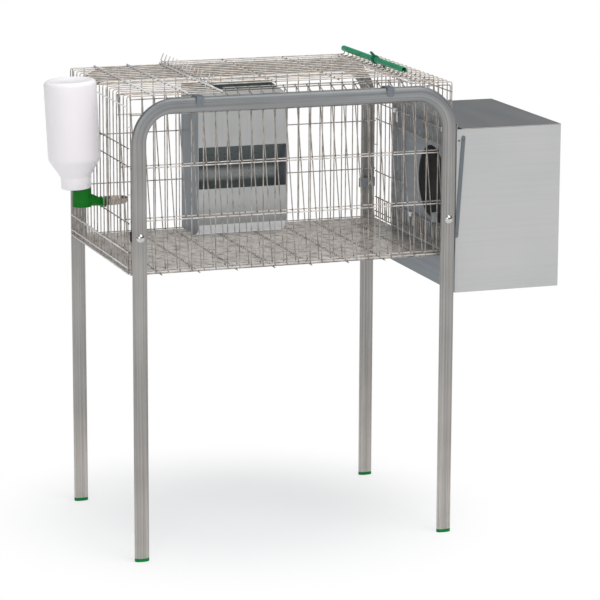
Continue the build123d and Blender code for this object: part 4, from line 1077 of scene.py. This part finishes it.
class CAGE_OT_feeder(bpy.types.Operator):
    """Dress the sheet feeder"""
    bl_idname = "cage.dress_feeder"
    bl_label = "Feeder"

    def execute(self, context):
        look = context.scene.cage_sheet
        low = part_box("feeder_trough")[0].z
        grain, clouds, lines = (160.0, 160.0, 4.0), 9.0, 0.4
        # Heights between which the front's tone and the baffle's belly change: the belly is a painted
        # highlight, and the baffle above and below it painted shade.
        foot = (low + 30 * MM, low + 75 * MM, ((0.0, look.low), (1.0, WHITE)))
        belly = (690 * MM, 780 * MM, ((0.04, look.baffle_shade), (0.16, WHITE), (0.3, WHITE), (0.42, look.baffle_shade)))
        zinc, side, toe, dark, mouth = (
            zinc_finish(f"feeder_{name}", bright, dull, rough, grain, clouds, metal, lines, "", height)
            for name, bright, dull, rough, metal, height in (
                ("zinc", look.feeder, look.feeder_dull, 0.45, 0.2, foot),
                ("side_zinc", look.shaded_side, look.shaded_side, 0.45, 0.2, None),
                ("toe_zinc", look.toe, look.zinc, 0.35, 0.2, None),
                ("inside_zinc", look.inside, look.inside, 0.3, 0.3, belly),
                ("mouth_zinc", look.mouth, look.mouth, 0.4, 0.3, None),
            )
        )
        for name, node, finishes, trim, pick in (
            ("feeder_body", "feeder_hopper", (zinc, side, mouth), self.tilt_top, self.pick_body),
            ("feeder_trough_front", "feeder_trough", (zinc, side, toe), None, self.pick_trough),
            # The baffle and the small hooks take the inside finish, with its painted highlight and shade.
            ("feeder_curved_baffle", "feeder_baffle", dark, None, None),
            ("feeder_back_hooks", "feeder_hooks", zinc, None, None),
            ("feeder_small_hooks", "feeder_side_hooks", dark, None, None),
        ):
            softened(name, node, finishes, "base", look.worn, trim=trim, pick=pick)
        softened("feeder_front_rivet", "feeder_rivet", zinc, "base", 0.4 * MM, 3, 20.0)
        return {"FINISHED"}

    @staticmethod
    def tilt_top(work):
        """Shortens the ledge before the mouth, and lets the top fall evenly to the front."""
        look = bpy.context.scene.cage_sheet
        low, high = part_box("feeder_hopper")
        brim, wall = 2 * MM, 5 * MM
        for vert in work.verts:
            if vert.co.z > high.z - brim:
                if low.y + wall < vert.co.y < high.y - wall:
                    vert.co.y -= look.ledge_cut
                back = (vert.co.y - low.y) / (high.y - low.y)
                vert.co.z += back * look.top_rise - (1 - back) * look.top_fall

    @staticmethod
    def pick_body(face):
        """Painted shade: darker sides that look to -X, and a dark wall inside the mouth."""
        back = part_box("feeder_hopper")[1].y - 10 * MM
        return 2 if face.normal.y < -FACING and face.calc_center_median().y > back else pick_shaded_side(face)

    @staticmethod
    def pick_trough(face):
        """Painted shade on the sides that look to -X, and a painted reflection of the white floor on the toe
        where the front turns under.
        """
        return 2 if -0.95 < face.normal.z < -0.25 and face.normal.y < 0 else pick_shaded_side(face)


class CAGE_OT_nest(bpy.types.Operator):
    """Dress the nest box and its lid"""
    bl_idname = "cage.dress_nest"
    bl_label = "Nest box"

    def execute(self, context):
        look = context.scene.cage_sheet
        rolled = (2.5, 2.5, 150.0)
        zinc = zinc_finish("nest_zinc", look.zinc, look.dull, 0.42, rolled, 5.0, 0.2, 0.5)
        # Painted shade: the walls that look to -X take the darker side finish.
        side = zinc_finish("nest_side_zinc", look.shaded_side, look.shaded_side, 0.42, rolled, 5.0, 0.2, 0.5)
        lid = zinc_finish("nest_lid_zinc", look.lid, look.lid_dull, 0.38, (30.0, 3.0, 30.0), 7.0, 0.85, 0.35)
        strip = zinc_finish("strip_zinc", look.strip, look.strip, 0.35, 60.0, 20.0, 0.5, 0.4)
        hook = bright_finish("bright_hook", look.hook, 0.3, 0.2)
        softened(
            "nest_box_walls", "nest_box", (zinc, side), "base", look.worn, pick=pick_shaded_side,
        )
        softened("nest_box_lid", "nest_lid", lid, "nest_lid", look.worn)
        softened("nest_slanting_stay", "nest_stay", strip, "base", 0.5 * MM, 3)
        softened("nest_strip_hooks", "nest_hooks", hook, "base", look.worn)
        softened("nest_lid_pin", "nest_hinge_pin", strip, "base", 0.5 * MM, 3)
        softened("nest_front_rivets", "nest_rivets", strip, "base", 0.4 * MM, 3, 20.0)
        return {"FINISHED"}


class CAGE_OT_drinker(bpy.types.Operator):
    """Turn the bottle and fit its cap and cup"""
    bl_idname = "cage.fit_drinker"
    bl_label = "Drinker"

    def execute(self, context):
        look = context.scene.cage_drinker
        milky = milky_finish("milky_bottle", look.milky, look.shade)
        green = plastic_finish("cap_plastic", look.cap, 0.38, 300.0, 0.05)
        steel = bright_finish("cup_pressed_steel", look.cup, 0.3)
        set_piece("milky_bottle", self.bottle(look), milky, "base", "bottle")
        softened("green_drinker_cap", "drinker_cap", green, "base", 1.2 * MM, 3)
        softened(
            "steel_drinking_cup", "drinker_cup", steel, "base", 0.25 * MM, 2, 50.0,
            trim=self.slope_cup,
        )
        return {"FINISHED"}

    @staticmethod
    def bottle(look):
        """Upside-down bottle: collar, shoulder, wall, rim and a sunk base, turned about the solid's axis."""
        # The solid's axis is read in the way a wire's is.
        foot, crown = sorted(wires_of("bottle")[0].ends, key=lambda end: end.z)
        tall = (crown - foot).length
        r, c = look.bottle_radius, look.collar_radius
        shoulder = look.collar + look.cone
        side = [Vector((x, z, 0.0)) for x, z in (
            (c, 1.3 * MM), (c, look.collar), (r, shoulder), (r, tall - 2 * look.rim),
        )]
        outline = [(0.0, 0.0), (c - 1.2 * MM, 0.0), (c, 1.2 * MM)]
        outline += [(p.x, p.y) for p in rounded(side[:3], 3.0 * MM, 6)[1:-1]]
        outline += [(p.x, p.y) for p in rounded(side[1:], 20.0 * MM, 12)[1:-1]]
        outline += [(r, shoulder + 45.0 * MM), (r, tall - look.rim - 20.0 * MM)]
        outline += arc_points((r - look.rim, tall - look.rim), look.rim, 0, 90, 8)
        outline += [(r - 14.0 * MM, tall - 0.2 * MM), (r - 18.0 * MM, tall - 2.6 * MM)]
        outline.append((0.0, tall - 3.4 * MM))
        return lathe("milky_bottle", outline, foot, crown - foot, 72, 50)

    @staticmethod
    def slope_cup(work):
        """Raises the cup's bottom evenly from the neck to the far end."""
        rise = bpy.context.scene.cage_drinker.cup_rise
        low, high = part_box("drinker_cup")
        for vert in work.verts:
            along = (vert.co.x - low.x) / (high.x - low.x)
            vert.co.z = high.z - (high.z - vert.co.z) * (1 - rise * along)


class CAGE_OT_stage(bpy.types.Operator):
    """Set the floor, the soft light and the camera"""
    bl_idname = "cage.set_stage"
    bl_label = "Stage"

    def execute(self, context):
        look = context.scene.cage_stage
        scene = context.scene
        self.floor(look)
        self.surroundings(scene, look)
        aim = Vector((0.0, 0.0, 0.55))
        for name, place, size, power in (
            ("key", Vector((1.5, -2.85, 4.4)), 3.6, look.key),
            ("fill", Vector((-1.8, -4.0, 2.2)), 2.6, look.fill),
            ("overhead", Vector((0.2, 0.2, 4.2)), 3.0, look.top),
        ):
            lamp = bpy.data.lights.new(name, "AREA")
            lamp.energy = power
            lamp.size = size
            holder = placed(name, lamp)
            holder.location = place
            holder.rotation_euler = (aim - place).to_track_quat("-Z", "Y").to_euler()
        camera = bpy.data.cameras.new("camera")
        camera.lens = look.lens
        camera.sensor_width = 36.0
        camera.clip_end = 60.0
        scene.camera = placed("camera", camera)
        turned = Matrix.Rotation(-look.yaw, 4, "Z") @ Matrix.Rotation(pi / 2 - look.pitch, 4, "X")
        turned = turned @ Matrix.Rotation(look.roll, 4, "Z")
        scene.camera.matrix_world = Matrix.Translation(Vector(look.eye)) @ turned
        scene.view_settings.view_transform = "Standard"
        return {"FINISHED"}

    @staticmethod
    def floor(look):
        """Pale round floor that keeps the shadow near the cage and fades to white at its rim."""
        work = bmesh.new()
        bmesh.ops.create_circle(work, cap_ends=True, radius=look.floor_radius, segments=96)
        mesh = from_work("floor", work)
        made = Finish("floor_white")
        made.feed(made.main, {"Base Color": (*look.floor, 1.0), "Roughness": 0.9, "Specular IOR Level": 0.1})
        away = made.add("VectorMath", {0: made.place, 1: look.shadow}, "Value", operation="DISTANCE")
        inner, outer, least = 0.15, 0.6, 0.1
        fade = made.ranged(away, inner, outer, least, interpolation_type="SMOOTHSTEP")
        shown = made.add("Math", {0: made.shown_rays(), 1: fade}, operation="MULTIPLY")
        made.show("Material Output", shown, made.main.outputs["BSDF"], made.add("Emission"))
        mesh.materials.append(made.owner)
        disc = placed("floor", mesh)

    @staticmethod
    def surroundings(scene, look):
        """World: an even light, and a backdrop, white below and greyer overhead, for what is seen."""
        scene.world = bpy.data.worlds.new("studio")
        made = Tree(scene.world)
        even = made.nodes["Background"]
        made.feed(even, {"Color": (*WHITE, 1.0), "Strength": look.ambient})
        height = made.add("SeparateXYZ", {"Vector": made.add("TexCoord", output="Generated")}, "Z")
        overhead = made.ramp(made.ranged(height, -0.1, 0.1), ((0.0, WHITE), (1.0, look.overhead)))
        backdrop = made.add("Background", {"Color": overhead})
        made.show("World Output", made.shown_rays(), even.outputs["Background"], backdrop)


OPERATORS = (
    CAGE_OT_mesh, CAGE_OT_frames, CAGE_OT_feet, CAGE_OT_fixings, CAGE_OT_rings,
    CAGE_OT_lid_edge, CAGE_OT_feeder, CAGE_OT_nest, CAGE_OT_drinker, CAGE_OT_stage,
)
LOOKS = (
    ("cage_wire", CageWire), ("cage_tube", CageTube), ("cage_sheet", CageSheet),
    ("cage_drinker", CageDrinker), ("cage_stage", CageStage),
)


class CAGE_PT_panel(bpy.types.Panel):
    """Lists the steps that dress the cage, and the sizes and colours that they use"""
    bl_idname = "CAGE_PT_panel"
    bl_label = "Rabbit cage"
    bl_space_type = "VIEW_3D"
    bl_region_type = "UI"
    bl_category = "Rabbit cage"

    def draw(self, context):
        column = self.layout.column()
        for step in OPERATORS:
            column.operator(step.bl_idname)
        for key, look in LOOKS:
            box = column.box()
            for field in look.__annotations__:
                box.prop(getattr(context.scene, key), field)


def register():
    """Registers the looks, the steps and the panel."""
    for key, look in LOOKS:
        bpy.utils.register_class(look)
        setattr(bpy.types.Scene, key, PointerProperty(type=look))
    for step in OPERATORS:
        bpy.utils.register_class(step)
    bpy.utils.register_class(CAGE_PT_panel)


def unregister():
    """Takes everything out again, in the other order."""
    bpy.utils.unregister_class(CAGE_PT_panel)
    for step in reversed(OPERATORS):
        bpy.utils.unregister_class(step)
    for key, look in reversed(LOOKS):
        delattr(bpy.types.Scene, key)
        bpy.utils.unregister_class(look)


def main():
    """Dresses the cage step by step."""
    register()
    bpy.ops.cage.lay_mesh()
    bpy.ops.cage.bend_frames()
    bpy.ops.cage.mould_feet()
    bpy.ops.cage.fit_fixings()
    bpy.ops.cage.close_rings()
    bpy.ops.cage.fit_lid_edge()
    bpy.ops.cage.dress_feeder()
    bpy.ops.cage.dress_nest()
    bpy.ops.cage.fit_drinker()
    bpy.ops.cage.set_stage()


if __name__ == "__main__":
    main()
